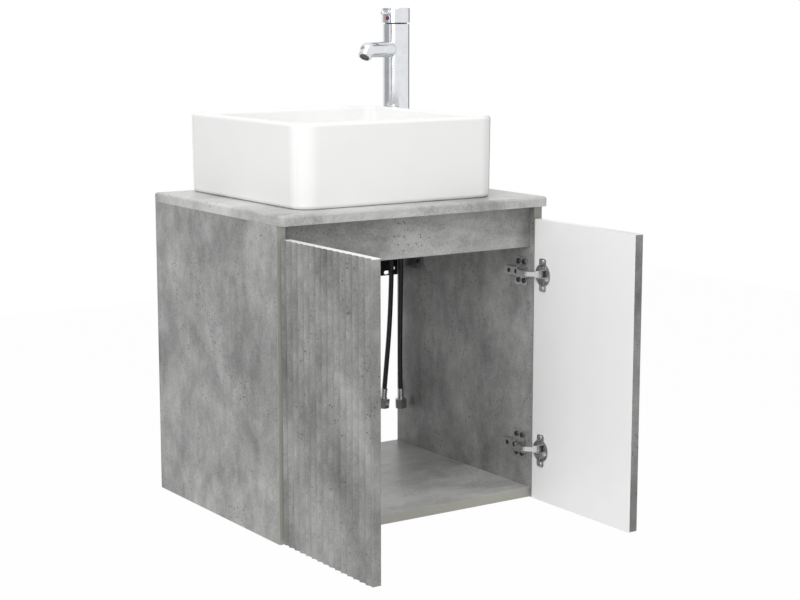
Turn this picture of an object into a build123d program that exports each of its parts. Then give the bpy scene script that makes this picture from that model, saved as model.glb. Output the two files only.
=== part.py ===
from build123d import *
import math
import os

# Wall-hung vanity unit: a fluted two-door cabinet with a countertop, a square vessel basin,
# a tall single-lever tap and its two supply hoses. Millimetres.
# Frame: X to the right, Y towards the wall, Z up. The origin lies on the wall face, in the middle
# of the wall rail's screw line. The rest pose has both doors open at a right angle.

# Cutters run this far past the face that they open
OVERCUT = 1.0

# Cabinet
CABINET_WIDTH = 480.0
CARCASS_DEPTH = 385.0
CARCASS_HEIGHT = 470.0
BOARD = 15.0
BOARD_EASE = 0.6
HANGING_HEIGHT = 340.0
BOTTOM_RAISE = 1.5
FRONT_RAIL_HEIGHT = 65.5
FRONT_RAIL_RECESS = 10.0

# Countertop
TOP_THICKNESS = 15.0
TOP_OVERHANG = 16.0
TOP_CORNER_RADIUS = 8.0
TOP_EDGE_ROUND = 4.0

# Doors
DOOR_THICKNESS = 15.0
DOOR_REVEAL = 1.5
DOOR_MEETING_GAP = 3.0
DOOR_GAP = 2.0
DOOR_RAISE = 1.5
FINGER_GAP = 19.5
DOOR_EASE = 1.5
DOOR_CORNER_RADIUS = 3.0
FLUTE_PITCH = 15.8
FLUTE_DEPTH = 3.1
FLUTE_RIDGE = 0.6
DOOR_OPEN_INSET = 3.7
DOOR_OPEN_FORWARD = 5.3

# Concealed hinges
HINGE_BOTTOM_INSET = 83.0
HINGE_TOP_INSET = 106.0
HINGE_HEIGHTS = {"lower": HINGE_BOTTOM_INSET, "upper": CARCASS_HEIGHT - HINGE_TOP_INSET}
CUP_RADIUS = 17.5
CUP_DEPTH = 10.0
CUP_WALL = 0.9
CUP_COLLAR_WIDTH = 0.8
CUP_COLLAR_HEIGHT = 0.6
CUP_CHEEK_THICKNESS = 1.6
CUP_CHEEK_REACH = 3.6
CUP_EDGE_DISTANCE = 22.5
FLANGE_WIDTH = 17.0
FLANGE_LENGTH = 52.0
FLANGE_THICKNESS = 1.0
FLANGE_CORNER = 4.0
CUP_SCREW_OFFSET = 21.5
PLATE_FRONT = 14.0
PLATE_LENGTH = 32.0
PLATE_HEIGHT = 46.0
PLATE_THICKNESS = 1.8
PLATE_CORNER = 4.0
PLATE_NOTCH_RADIUS = 3.2
PLATE_PAD_HEIGHT = 4.2
PLATE_SCREW_OFFSET = 15.0
PLATE_SCREW_PITCH = 14.0
ARM_REAR = 60.0
ARM_FRONT = 14.0
ARM_RISE_LENGTH = 12.0
ARM_HEIGHT = 13.6
ARM_TOP = 27.5
NECK_HEIGHT = 10.8
SHEET = 1.4
LINK_PIVOT_INSET = 34.0
LINK_PIVOT_FORWARD = 2.0
LINK_CUP_RADIUS = 9.5
LINK_CRANK = 2.0
LINK_KNEE_DISTANCE = 13.5
LINK_THICKNESS = 2.0
LINK_HEIGHT = 7.2
LINK_HEAD_HEIGHT = 10.4
LINK_HEAD_LENGTH = 7.0
LINK_EYE_RADIUS = 2.6
LINK_TIP_RADIUS = 1.4
PIN_RADIUS = 1.25
PIN_CLEARANCE = 0.05
PIVOT_GAP = 0.3

# Screws
CONFIRM_SHANK_RADIUS = 3.1
CONFIRM_HEAD_RADIUS = 4.4
CONFIRM_LENGTH = 11.0
CHIP_SHANK_RADIUS = 1.7
CHIP_HEAD_RADIUS = 3.4
CHIP_LENGTH = 9.0
SCREW_HEAD_HEIGHT = 1.8
SCREW_HEAD_ROUND = 0.8
SCREW_CLEARANCE = 0.05
RECESS_WIDTH = 1.0
RECESS_DEPTH = 1.0
ADJUSTER_RADIUS = 3.6
ADJUSTER_SHANK_RADIUS = 2.0
ADJUSTER_RECESS = 4.7
ADJUSTER_FRONT_INSET = 16.0
ADJUSTER_REAR_INSET = 12.0

# Wall rail and hangers
RAIL_SHEET = 2.0
RAIL_HEIGHT = 52.0
RAIL_SHELF_DEPTH = 16.0
RAIL_LIP_HEIGHT = 12.0
RAIL_END_GAP = 1.0
RAIL_SLOT_SPACING = 320.0
RAIL_SLOT_WIDTH = 7.0
RAIL_SLOT_LENGTH = 16.0
RAIL_VENT_WIDTH = 10.5
RAIL_VENT_HEIGHT = 6.5
RAIL_VENT_MARGIN = 1.8
RAIL_VENT_INSET = 24.0
RAIL_HOLE_RADIUS = 3.2
RAIL_HOLE_INSET = 9.0
HANGER_SHEET = 2.5
HANGER_FRONT = 83.0
HANGER_REAR = 18.0
HANGER_BOTTOM = 9.0
HANGER_TOP = 48.0
HANGER_HOOK_WIDTH = 11.0
HANGER_HOOK_SHEET = 3.0
HANGER_GAP = 0.3
HANGER_SCREW_INSET = 14.0
HANGER_SCREW_HEIGHTS = (5.0, 21.0)
HANGER_HEAD_RADIUS = 4.6
HANGER_SHANK_RADIUS = 2.3

# Basin
BASIN_WIDTH = 358.0
BASIN_HEIGHT = 126.0
BASIN_REAR_GAP = 2.5
BASIN_TAP_GAP = 6.2
BASIN_CORNER_RADIUS = 30.0
BASIN_TAPER = 0.65
BASIN_WALL = 14.0
BASIN_FLOOR = 18.0
BASIN_FOOT_ROUND = 6.0
BASIN_RIM_ROUND = 5.5
BASIN_BOWL_ROUND = 16.0
BASIN_INNER_CORNER = 20.0

# Waste
WASTE_THREAD_RADIUS = 20.95
WASTE_BORE_RADIUS = 17.0
WASTE_FLANGE_RADIUS = 32.0
WASTE_FLANGE_THICKNESS = 2.5
WASTE_FLANGE_ROUND = 1.5
WASTE_LENGTH = 90.0
WASTE_RELIEF_DROP = 2.0
WASTE_RELIEF_WIDTH = 2.0
WASTE_RELIEF_DEPTH = 0.6
WASTE_HOLE_CLEARANCE = 1.5
WASTE_TOP_CLEARANCE = 3.5
WASTE_GASKET_THICKNESS = 3.5
WASTE_GASKET_OVERHANG = 2.0
WASTE_NUT_HEIGHT = 9.0
WASTE_NUT_RADIUS = 29.0
WASTE_NUT_NOTCHES = 8
WASTE_NOTCH_RADIUS = 2.7
THREAD_CLEARANCE = 0.05
PLUG_RADIUS = 31.0
PLUG_THICKNESS = 4.0
PLUG_EDGE_ROUND = 2.8
PLUG_STEM_RADIUS = 15.0
PLUG_STEM_LENGTH = 24.0
PLUG_SEAT_GAP = 0.3

# Tap
TAP_SIDE_INSET = 39.0
TAP_FORWARD = 32.0
TAP_HOLE_RADIUS = 17.5
TAP_BODY_RADIUS = 22.8
TAP_BODY_HEIGHT = 262.0
TAP_BORE_RADIUS = 19.0
TAP_BORE_DEPTH = 195.0
TAP_GASKET_THICKNESS = 1.0
TAP_GASKET_INSET = 0.6
TAP_BASE_THICKNESS = 10.0
TAP_POINTING = 205.5
SPOUT_RADIUS = 13.0
SPOUT_SEAT_DEPTH = 2.8
SPOUT_HEIGHT = 221.0
SPOUT_REACH = 92.0
AERATOR_TILT = 50.0
AERATOR_BOSS_RADIUS = 11.2
AERATOR_BOSS_LENGTH = 15.0
AERATOR_RADIUS = 8.6
AERATOR_DEPTH = 6.0
AERATOR_RECESS = 0.8
AERATOR_RIM = 1.9
CARTRIDGE_RADIUS = 17.5
CARTRIDGE_HEIGHT = 38.0
CARTRIDGE_CLEARANCE = 0.1
CARTRIDGE_TOP_GAP = 1.0
CARTRIDGE_SOCKET_DEPTH = 19.0
HEAD_GAP = 2.2
HEAD_RADIUS = 24.0
HEAD_OFFSET = 1.2
HEAD_HEIGHT = 24.5
HEAD_WALL = 2.5
HEAD_EDGE_ROUND = 1.2
HEAD_PIVOT_BACK = 16.0
HEAD_PIVOT_RISE = 5.5
SPINDLE_DISC_RADIUS = 18.5
SPINDLE_DISC_THICKNESS = 2.4
SPINDLE_STEM_RADIUS = 6.0
SPINDLE_STEM_HEIGHT = 12.0
SPINDLE_EAR_THICKNESS = 2.4
SPINDLE_EAR_RADIUS = 2.2
HEAD_LUG_HALF_WIDTH = 3.0
HEAD_PIN_RADIUS = 1.2
HEAD_EYE_WALL = 1.0
LEVER_RADIUS = 4.4
LEVER_TIP_RADIUS = 3.6
LEVER_LENGTH = 22.0
LEVER_COLLAR_RADIUS = 5.4
LEVER_COLLAR_LENGTH = 2.5
LEVER_DROP = 8.2
LEVER_ROOT = 3.0
LEVER_SOCKET_WALL = 1.6
LEVER_SOCKET_END = 2.0
INDICATOR_RADIUS = 3.8
INDICATOR_DEPTH = 1.2
INDICATOR_RISE = 7.6
INDICATOR_TURN = -5.0

# Tap fixing and hoses
HOSE_RADIUS = 4.25
HOSE_SPACING = 16.0
HOSE_LINE_TURN = -32.7
HOSE_DROPS = (0, 44, 90, 137, 186, 236, 284, 330, 368)
HOSE_SWAYS = (0.0, 0.0, 0.7, 0.6, -0.3, -1.6, -3.3, -5.4, -6.4)
HOSE_LEANS = (0.0, 0.0, 0.9, 2.4, 2.9, 2.3, 1.2, 0.8, 1.5)
HOSE_SPREADS = (0.0, 0.0, 0.0, 0.1, 0.3, 0.8, 2.0, 3.9, 6.0)
HOSE_LEAN_DIFFERENCE = 0.15
HOSE_FILLET_SHARE = 0.45
FERRULE_RADIUS = 5.6
FERRULE_LENGTH = 18.0
UNION_RADIUS = 9.5
UNION_LENGTH = 17.0
UNION_THREAD_RADIUS = 8.3
UNION_THREAD_LENGTH = 11.0
STUD_RADIUS = 3.0
STUD_OFFSET = 11.0
STUD_LENGTH = 46.0
WASHER_RADIUS = 23.0
WASHER_THICKNESS = 3.0
WASHER_HOSE_GAP = 2.0
FIX_NUT_FLATS = 10.0
FIX_NUT_HEIGHT = 5.0

# Derived levels and places
BOTTOM_Z = -HANGING_HEIGHT
CARCASS_TOP_Z = BOTTOM_Z + CARCASS_HEIGHT
TOP_Z = CARCASS_TOP_Z + TOP_THICKNESS
FRONT_Y = -CARCASS_DEPTH
HALF_WIDTH = CABINET_WIDTH / 2
INNER_HALF = HALF_WIDTH - BOARD
DOOR_WIDTH = (CABINET_WIDTH - DOOR_MEETING_GAP) / 2 - DOOR_REVEAL
TAP_X = HALF_WIDTH - TAP_SIDE_INSET
BASIN_X = TAP_X - TAP_BODY_RADIUS - BASIN_TAP_GAP - BASIN_WIDTH / 2
BASIN_Y = -(BASIN_REAR_GAP + BASIN_WIDTH / 2)
BASIN_FLOOR_Z = TOP_Z + BASIN_FLOOR
WASTE_HOLE_RADIUS = WASTE_THREAD_RADIUS + WASTE_HOLE_CLEARANCE
TAP_Y = -TAP_FORWARD
TAP_FOOT_Z = TOP_Z + TAP_GASKET_THICKNESS
TAP_TOP_Z = TAP_FOOT_Z + TAP_BODY_HEIGHT
HEAD_BOTTOM_Z = TAP_TOP_Z + HEAD_GAP
HEAD_PIVOT_Z = TAP_TOP_Z + HEAD_PIVOT_RISE
LEVER_Z = HEAD_BOTTOM_Z + HEAD_HEIGHT - LEVER_DROP

# The hinge frame measures X from the side panel's outer face inwards, Y from the carcass front
# backwards and Z from the hinge's middle. It holds the left-hand side with the door closed.
DOOR_FACE_Y = -DOOR_GAP
DOOR_OUTER_Y = -(DOOR_GAP + DOOR_THICKNESS)
CUP_X = DOOR_REVEAL + CUP_EDGE_DISTANCE
LINK_PIVOT = Vector(LINK_PIVOT_INSET, -LINK_PIVOT_FORWARD, 0)


def door_pole():
    """Point about which a quarter turn takes the closed door to its open place."""
    across = DOOR_REVEAL + DOOR_OPEN_INSET - DOOR_OUTER_Y - DOOR_OPEN_FORWARD
    pole_x = across / 2
    pole_y = DOOR_REVEAL - DOOR_OPEN_FORWARD - pole_x
    return Vector(pole_x, pole_y, 0)


POLE = door_pole()


def cup_pivot(quarter_turns):
    """Link pin's place in the cup, with the door closed (0) or open (1)."""
    arm = LINK_PIVOT - POLE
    angle = math.atan2(arm.Y, arm.X) + math.radians(45 - 90 * quarter_turns)
    return POLE + Vector(math.cos(angle), math.sin(angle), 0) * LINK_CUP_RADIUS


LINK_OPEN_END = cup_pivot(1)


def block(x_span, y_span, z_span, ease=0.0):
    """Box between pairs of limits, with softly eased edges if asked."""
    size = [span[1] - span[0] for span in (x_span, y_span, z_span)]
    solid = Pos(x_span[0], y_span[0], z_span[0]) * Box(*size, align=(Align.MIN, Align.MIN, Align.MIN))
    if ease > 0:
        solid = fillet(solid.edges(), ease)
    return solid


def post(x, y, z_low, z_high, radius):
    """Upright cylinder between two heights."""
    base = (Align.CENTER, Align.CENTER, Align.MIN)
    return Pos(x, y, z_low) * Cylinder(radius, z_high - z_low, align=base)


def rod(start, direction, length, radius):
    """Cylinder from a start point along a direction."""
    plane = Plane(origin=start, z_dir=direction)
    return plane * Cylinder(radius, length, align=(Align.CENTER, Align.CENTER, Align.MIN))


def slab(outline, z_low, z_high):
    """Closed polygon in plan, extruded between two heights."""
    return extrude(Pos(0, 0, z_low) * make_face(Polyline(*outline, close=True)), z_high - z_low)


def cross_recess(centre, direction, across):
    """Crossed driver slots, sunk into a screw head whose top lies at the centre."""
    plane = Plane(origin=centre, z_dir=direction)
    bar = Box(across, RECESS_WIDTH, 2 * RECESS_DEPTH)
    return plane * (bar + Box(RECESS_WIDTH, across, 2 * RECESS_DEPTH))


def screw(seat, inward, head_radius, shank_radius, length):
    """Pan-head screw: the head stands on the seat, the shank runs inward from it."""
    outward = inward * -1
    head = rod(seat, outward, SCREW_HEAD_HEIGHT, head_radius)
    rim = head.edges().filter_by(GeomType.CIRCLE).sort_by(lambda e: e.center().dot(outward))[-1]
    head = fillet(rim, SCREW_HEAD_ROUND)
    shank = rod(seat, inward, length, shank_radius)
    return head + shank - cross_recess(seat + outward * SCREW_HEAD_HEIGHT, outward, head_radius)


def place_hinge_frame(solid, side, level=0.0):
    """Moves a piece from the hinge frame to the cabinet, mirrored for the right-hand side."""
    placed = Pos(-HALF_WIDTH, FRONT_Y, BOTTOM_Z + level) * solid
    return placed if side == "left" else mirror(placed, about=Plane.YZ)


def swing_open(solid):
    """Turns a piece that rides on the closed door a quarter turn about the pole."""
    axis = Axis((POLE.X, POLE.Y, 0), (0, 0, 1))
    return solid.rotate(axis, -90)


# Carcass
def side_panel(side):
    panel = block((0, BOARD), (0, CARCASS_DEPTH), (0, CARCASS_HEIGHT), BOARD_EASE)
    for level in HINGE_HEIGHTS.values():
        for seat in plate_screw_seats():
            depth = CONFIRM_LENGTH - PLATE_THICKNESS
            start = Vector(BOARD + OVERCUT, seat.Y, seat.Z + level)
            panel -= rod(start, Vector(-1, 0, 0), depth + OVERCUT, CONFIRM_SHANK_RADIUS + SCREW_CLEARANCE)
    for rise in HANGER_SCREW_HEIGHTS:
        start = Vector(BOARD + OVERCUT, hanger_screw_y(), HANGING_HEIGHT + rise)
        depth = CONFIRM_LENGTH - HANGER_SHEET
        panel -= rod(start, Vector(-1, 0, 0), depth + OVERCUT, HANGER_SHANK_RADIUS + SCREW_CLEARANCE)
    return place_hinge_frame(panel, side)


def bottom_panel():
    low = BOTTOM_Z + BOTTOM_RAISE
    return block((-INNER_HALF, INNER_HALF), (FRONT_Y, 0), (low, low + BOARD), BOARD_EASE)


def front_rail():
    front = FRONT_Y + FRONT_RAIL_RECESS
    low = CARCASS_TOP_Z - FRONT_RAIL_HEIGHT
    return block((-INNER_HALF, INNER_HALF), (front, front + BOARD), (low, CARCASS_TOP_Z), BOARD_EASE)


def countertop():
    depth = CARCASS_DEPTH + TOP_OVERHANG
    outline = Rectangle(CABINET_WIDTH, depth)
    outline = fillet(outline.vertices().group_by(Axis.Y)[0], TOP_CORNER_RADIUS)
    top = extrude(Pos(0, -depth / 2, CARCASS_TOP_Z) * outline, TOP_THICKNESS)
    top = fillet(top.edges().group_by(Axis.Z)[-1], TOP_EDGE_ROUND)
    top = fillet(top.edges().group_by(Axis.Z)[0], BOARD_EASE)
    waste_radius = WASTE_THREAD_RADIUS + WASTE_TOP_CLEARANCE
    for x, y, radius in ((BASIN_X, BASIN_Y, waste_radius), (TAP_X, TAP_Y, TAP_HOLE_RADIUS)):
        top -= post(x, y, CARCASS_TOP_Z - OVERCUT, TOP_Z + OVERCUT, radius)
    return top


# Doors, modelled closed in the hinge frame and swung open
def door(side):
    bottom = DOOR_RAISE
    top = CARCASS_HEIGHT - FINGER_GAP
    near = DOOR_REVEAL
    far = DOOR_REVEAL + DOOR_WIDTH
    centre_x = (near + far) / 2
    outline = Pos(centre_x, (DOOR_FACE_Y + DOOR_OUTER_Y) / 2) * Rectangle(DOOR_WIDTH, DOOR_THICKNESS)
    outline = fillet(outline.vertices(), DOOR_EASE)
    count = round(DOOR_WIDTH / FLUTE_PITCH)
    pitch = DOOR_WIDTH / count
    half_chord = (pitch - FLUTE_RIDGE) / 2
    flute_radius = (half_chord ** 2 + FLUTE_DEPTH ** 2) / (2 * FLUTE_DEPTH)
    flute_y = DOOR_OUTER_Y + FLUTE_DEPTH - flute_radius
    for index in range(count):
        outline -= Pos(near + pitch * (index + 0.5), flute_y) * Circle(flute_radius)
    leaf = extrude(Pos(0, 0, bottom) * outline, top - bottom)
    middle = (centre_x, DOOR_FACE_Y + OVERCUT, (bottom + top) / 2)
    window = Plane(origin=middle, x_dir=(1, 0, 0), z_dir=(0, -1, 0))
    window *= RectangleRounded(DOOR_WIDTH, top - bottom, DOOR_CORNER_RADIUS)
    leaf &= extrude(window, DOOR_THICKNESS + 2 * OVERCUT)
    for level in HINGE_HEIGHTS.values():
        floor = DOOR_FACE_Y - CUP_DEPTH
        leaf -= rod(Vector(CUP_X, floor, level), Vector(0, 1, 0), CUP_DEPTH + OVERCUT, CUP_RADIUS)
        for offset in (-CUP_SCREW_OFFSET, CUP_SCREW_OFFSET):
            start = Vector(CUP_X, DOOR_FACE_Y + OVERCUT, level + offset)
            depth = CHIP_LENGTH - FLANGE_THICKNESS
            leaf -= rod(start, Vector(0, -1, 0), depth + OVERCUT, CHIP_SHANK_RADIUS + SCREW_CLEARANCE)
    return place_hinge_frame(swing_open(leaf), side)


# Hinge pieces
def hinge_cup():
    """Pressed cup with its screw flange, seated on the door's inner face."""
    shell_radius = CUP_RADIUS - SCREW_CLEARANCE
    inside = shell_radius - CUP_WALL
    floor_y = DOOR_FACE_Y - CUP_DEPTH
    flange_y = DOOR_FACE_Y + FLANGE_THICKNESS
    plane = Plane(origin=(CUP_X, DOOR_FACE_Y, 0), x_dir=(1, 0, 0), z_dir=(0, 1, 0))
    flange = extrude(plane * RectangleRounded(FLANGE_WIDTH, FLANGE_LENGTH, FLANGE_CORNER), FLANGE_THICKNESS)
    outward = Vector(0, 1, 0)
    collar_radius = CUP_RADIUS + CUP_COLLAR_WIDTH
    collar = rod(Vector(CUP_X, DOOR_FACE_Y, 0), outward, CUP_COLLAR_HEIGHT, collar_radius)
    shell = rod(Vector(CUP_X, floor_y, 0), outward, CUP_DEPTH + CUP_COLLAR_HEIGHT, shell_radius)
    hollow = rod(Vector(CUP_X, floor_y + CUP_WALL, 0), outward, CUP_DEPTH + FLANGE_THICKNESS, inside)
    cup = flange + collar + shell - hollow + (cup_cheeks() & hollow)
    for offset in (-CUP_SCREW_OFFSET, CUP_SCREW_OFFSET):
        start = Vector(CUP_X, flange_y + OVERCUT, offset)
        depth = FLANGE_THICKNESS + 2 * OVERCUT
        cup -= rod(start, Vector(0, -1, 0), depth, CHIP_SHANK_RADIUS + SCREW_CLEARANCE)
    return cup


def cup_cheeks():
    """Two cheeks inside the cup, between which the link's tip runs."""
    near = LINK_HEAD_HEIGHT / 2 + PIVOT_GAP
    x_span = (CUP_X - CUP_RADIUS, cup_pivot(0).X + CUP_CHEEK_REACH)
    y_span = (DOOR_FACE_Y - CUP_DEPTH, DOOR_FACE_Y + CUP_COLLAR_HEIGHT)
    upper = block(x_span, y_span, (near, near + CUP_CHEEK_THICKNESS))
    return upper + mirror(upper, about=Plane.XY)


def cup_screws():
    seats = [Vector(CUP_X, DOOR_FACE_Y + FLANGE_THICKNESS, z) for z in (-CUP_SCREW_OFFSET, CUP_SCREW_OFFSET)]
    return [screw(s, Vector(0, -1, 0), CHIP_HEAD_RADIUS, CHIP_SHANK_RADIUS, CHIP_LENGTH) for s in seats]


def plate_screw_seats():
    """Seats of the four screws on a mounting plate, on its face towards the cabinet's middle."""
    middle = PLATE_FRONT + PLATE_LENGTH / 2
    seats = []
    for offset_z in (-PLATE_SCREW_OFFSET, PLATE_SCREW_OFFSET):
        for offset_y in (-PLATE_SCREW_PITCH / 2, PLATE_SCREW_PITCH / 2):
            seats.append(Vector(BOARD + PLATE_THICKNESS, middle + offset_y, offset_z))
    return seats


def plate_screws():
    inward = Vector(-1, 0, 0)
    return [screw(s, inward, CONFIRM_HEAD_RADIUS, CONFIRM_SHANK_RADIUS, CONFIRM_LENGTH)
            for s in plate_screw_seats()]


def mounting_plate():
    """Butterfly plate on the side panel, with a raised pad that carries the arm."""
    middle = PLATE_FRONT + PLATE_LENGTH / 2
    plane = Plane(origin=(BOARD, middle, 0), x_dir=(0, 1, 0), z_dir=(1, 0, 0))
    plate = extrude(plane * RectangleRounded(PLATE_LENGTH, PLATE_HEIGHT, PLATE_CORNER), PLATE_THICKNESS)
    through = Vector(1, 0, 0)
    for sign in (-1, 1):
        notch_z = sign * (ARM_HEIGHT / 2 + PLATE_NOTCH_RADIUS)
        cuts = [(end, notch_z, PLATE_NOTCH_RADIUS) for end in (PLATE_FRONT, PLATE_FRONT + PLATE_LENGTH)]
        cuts.append((middle, sign * PLATE_HEIGHT / 2, CHIP_SHANK_RADIUS))
        for y, z, radius in cuts:
            plate -= rod(Vector(BOARD - OVERCUT, y, z), through, PLATE_THICKNESS + 2 * OVERCUT, radius)
    pad_half = ARM_HEIGHT / 2 - SHEET - PIVOT_GAP
    pad = block((BOARD, BOARD + PLATE_PAD_HEIGHT), (PLATE_FRONT, ARM_REAR - SHEET), (-pad_half, pad_half))
    plate += pad
    inward = Vector(-1, 0, 0)
    for seat in plate_screw_seats():
        start = seat + Vector(OVERCUT, 0, 0)
        depth = PLATE_THICKNESS + 2 * OVERCUT
        plate -= rod(start, inward, depth, CONFIRM_SHANK_RADIUS + SCREW_CLEARANCE)
    for place in adjuster_places():
        start = Vector(BOARD + PLATE_PAD_HEIGHT + OVERCUT, place, 0)
        depth = PLATE_PAD_HEIGHT + OVERCUT
        plate -= rod(start, inward, depth, ADJUSTER_SHANK_RADIUS + SCREW_CLEARANCE)
    return plate


def adjuster_places():
    """Fixing and adjusting screws along the arm."""
    return (ARM_REAR - ADJUSTER_REAR_INSET, ARM_FRONT + ADJUSTER_FRONT_INSET)


def neck_top():
    """Height of the neck's outer face over the side panel's outer face."""
    return LINK_PIVOT_INSET + LINK_EYE_RADIUS + PIVOT_GAP + SHEET


def arm_body():
    """Wide rear channel of the arm over the plate's pad, with its ramp up to the neck."""
    half = ARM_HEIGHT / 2
    hollow = (SHEET - half, half - SHEET)
    low = BOARD + PLATE_THICKNESS + PIVOT_GAP
    floor = BOARD + PLATE_PAD_HEIGHT

    def outline(bottom, drop):
        return [
            (bottom, ARM_REAR),
            (ARM_TOP - drop, ARM_REAR),
            (ARM_TOP - drop, ARM_FRONT + ARM_RISE_LENGTH),
            (neck_top() - drop, ARM_FRONT),
            (bottom, ARM_FRONT),
        ]

    body = slab(outline(low, 0), -half, half) - slab(outline(low - OVERCUT, SHEET), *hollow)
    body += block((floor, floor + SHEET), (ARM_FRONT, ARM_REAR), hollow)
    body += block((floor + PIVOT_GAP, ARM_TOP - SHEET), (ARM_REAR - SHEET, ARM_REAR), hollow)
    bulkhead = block((floor, neck_top()), (ARM_FRONT, ARM_FRONT + SHEET), (-half, half))
    return body + (bulkhead & slab(outline(low, 0), -half, half))


def arm_neck():
    """Narrow front channel of the arm, which holds the link's pin."""
    half = NECK_HEIGHT / 2
    tip_y = LINK_PIVOT.Y - LINK_EYE_RADIUS - PIVOT_GAP
    chin_x = LINK_PIVOT_INSET - LINK_EYE_RADIUS
    outline = [
        (BOARD + PLATE_PAD_HEIGHT, ARM_FRONT),
        (neck_top(), ARM_FRONT),
        (neck_top(), tip_y),
        (chin_x, tip_y),
        (chin_x - SHEET, ARM_FRONT / 2),
    ]
    hollow_y = (tip_y - OVERCUT, ARM_FRONT + OVERCUT)
    hollow = block((0, neck_top() - SHEET), hollow_y, (SHEET - half, half - SHEET))
    return slab(outline, -half, half) - hollow


def hinge_arm():
    """Arm with the holes for its screws and for the link's pin."""
    arm = arm_body() + arm_neck()
    inward = Vector(-1, 0, 0)
    for place in adjuster_places():
        start = Vector(ARM_TOP + OVERCUT, place, 0)
        arm -= rod(start, inward, SHEET + 2 * OVERCUT, ADJUSTER_RADIUS + PIVOT_GAP)
        arm -= rod(start, inward, ARM_TOP, ADJUSTER_SHANK_RADIUS + SCREW_CLEARANCE)
    pin_start = Vector(LINK_PIVOT.X, LINK_PIVOT.Y, -ARM_HEIGHT / 2)
    return arm - rod(pin_start, Vector(0, 0, 1), ARM_HEIGHT, PIN_RADIUS + SCREW_CLEARANCE)


def adjusters():
    """Fixing and adjusting screws, their heads inside the arm."""
    solids = []
    floor_x = BOARD + PLATE_PAD_HEIGHT + SHEET
    for place in adjuster_places():
        seat = Vector(floor_x, place, 0)
        head_height = ARM_TOP - floor_x
        head = rod(seat, Vector(1, 0, 0), head_height, ADJUSTER_RADIUS)
        shank = rod(seat, Vector(-1, 0, 0), floor_x - BOARD - SCREW_CLEARANCE, ADJUSTER_SHANK_RADIUS)
        top = seat + Vector(head_height, 0, 0)
        solids.append(head + shank - cross_recess(top, Vector(1, 0, 0), ADJUSTER_RECESS))
    return solids


def pivot_pin():
    half = NECK_HEIGHT / 2
    start = Vector(LINK_PIVOT.X, LINK_PIVOT.Y, -half)
    return rod(start, Vector(0, 0, 1), NECK_HEIGHT, PIN_RADIUS)


def hinge_link():
    """Cranked link with an eye on the arm's pin and a wide tip in the cup, door open."""
    along = (LINK_OPEN_END - LINK_PIVOT).normalized()
    across = Vector(-along.Y, along.X, 0)
    knee = LINK_PIVOT + along * LINK_KNEE_DISTANCE + across * LINK_CRANK
    bar_half = LINK_HEIGHT / 2
    head_half = LINK_HEAD_HEIGHT / 2

    def strip(start, end, half_height):
        run = (end - start).normalized()
        side = Vector(-run.Y, run.X, 0) * (LINK_THICKNESS / 2)
        corners = [start + side, end + side, end - side, start - side]
        return slab([(c.X, c.Y) for c in corners], -half_height, half_height)

    def barrel(centre, radius, half_height):
        return post(centre.X, centre.Y, -half_height, half_height, radius)

    tip_run = (LINK_OPEN_END - knee).normalized()
    head_start = LINK_OPEN_END - tip_run * LINK_HEAD_LENGTH
    link = barrel(LINK_PIVOT, LINK_EYE_RADIUS, bar_half)
    link += strip(LINK_PIVOT, knee, bar_half)
    link += barrel(knee, LINK_THICKNESS / 2, bar_half)
    link += strip(knee, LINK_OPEN_END, bar_half)
    link += strip(head_start, LINK_OPEN_END, head_half)
    link += barrel(LINK_OPEN_END, LINK_TIP_RADIUS, head_half)
    return link - barrel(LINK_PIVOT, PIN_RADIUS + PIN_CLEARANCE, bar_half + OVERCUT)


# Wall rail and hangers
def wall_rail():
    """Folded rail that is screwed to the wall, with an upturned lip for the hangers."""
    half = INNER_HALF - RAIL_END_GAP
    low = -RAIL_HEIGHT / 2
    high = RAIL_HEIGHT / 2
    rail = block((-half, half), (-RAIL_SHEET, 0), (low, high))
    rail += block((-half, half), (-RAIL_SHELF_DEPTH, 0), (high - RAIL_SHEET, high))
    lip_front = -RAIL_SHELF_DEPTH
    lip_top = high + RAIL_LIP_HEIGHT
    rail += block((-half, half), (lip_front, lip_front + RAIL_SHEET), (high - RAIL_SHEET, lip_top))
    wall_plane = Plane(origin=(0, OVERCUT, 0), x_dir=(1, 0, 0), z_dir=(0, -1, 0))
    cuts = []
    for sign in (-1, 1):
        slot_x = sign * RAIL_SLOT_SPACING / 2
        cuts.append(wall_plane * Pos(slot_x, 0) * SlotOverall(RAIL_SLOT_LENGTH, RAIL_SLOT_WIDTH))
        vent_z = low + RAIL_VENT_MARGIN + RAIL_VENT_HEIGHT / 2
        vent_x = sign * (INNER_HALF - RAIL_VENT_INSET)
        cuts.append(wall_plane * Pos(vent_x, vent_z) * SlotOverall(RAIL_VENT_WIDTH, RAIL_VENT_HEIGHT))
        hole_z = vent_z + RAIL_VENT_HEIGHT
        hole_x = sign * (INNER_HALF - RAIL_HOLE_INSET)
        cuts.append(wall_plane * Pos(hole_x, hole_z) * Circle(RAIL_HOLE_RADIUS))
    for cut in cuts:
        rail -= extrude(cut, RAIL_SHEET + 2 * OVERCUT)
    return rail


def hanger_screw_y():
    """Depth of the hanger's screws, in the hinge frame."""
    return CARCASS_DEPTH - HANGER_FRONT + HANGER_SCREW_INSET


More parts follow.
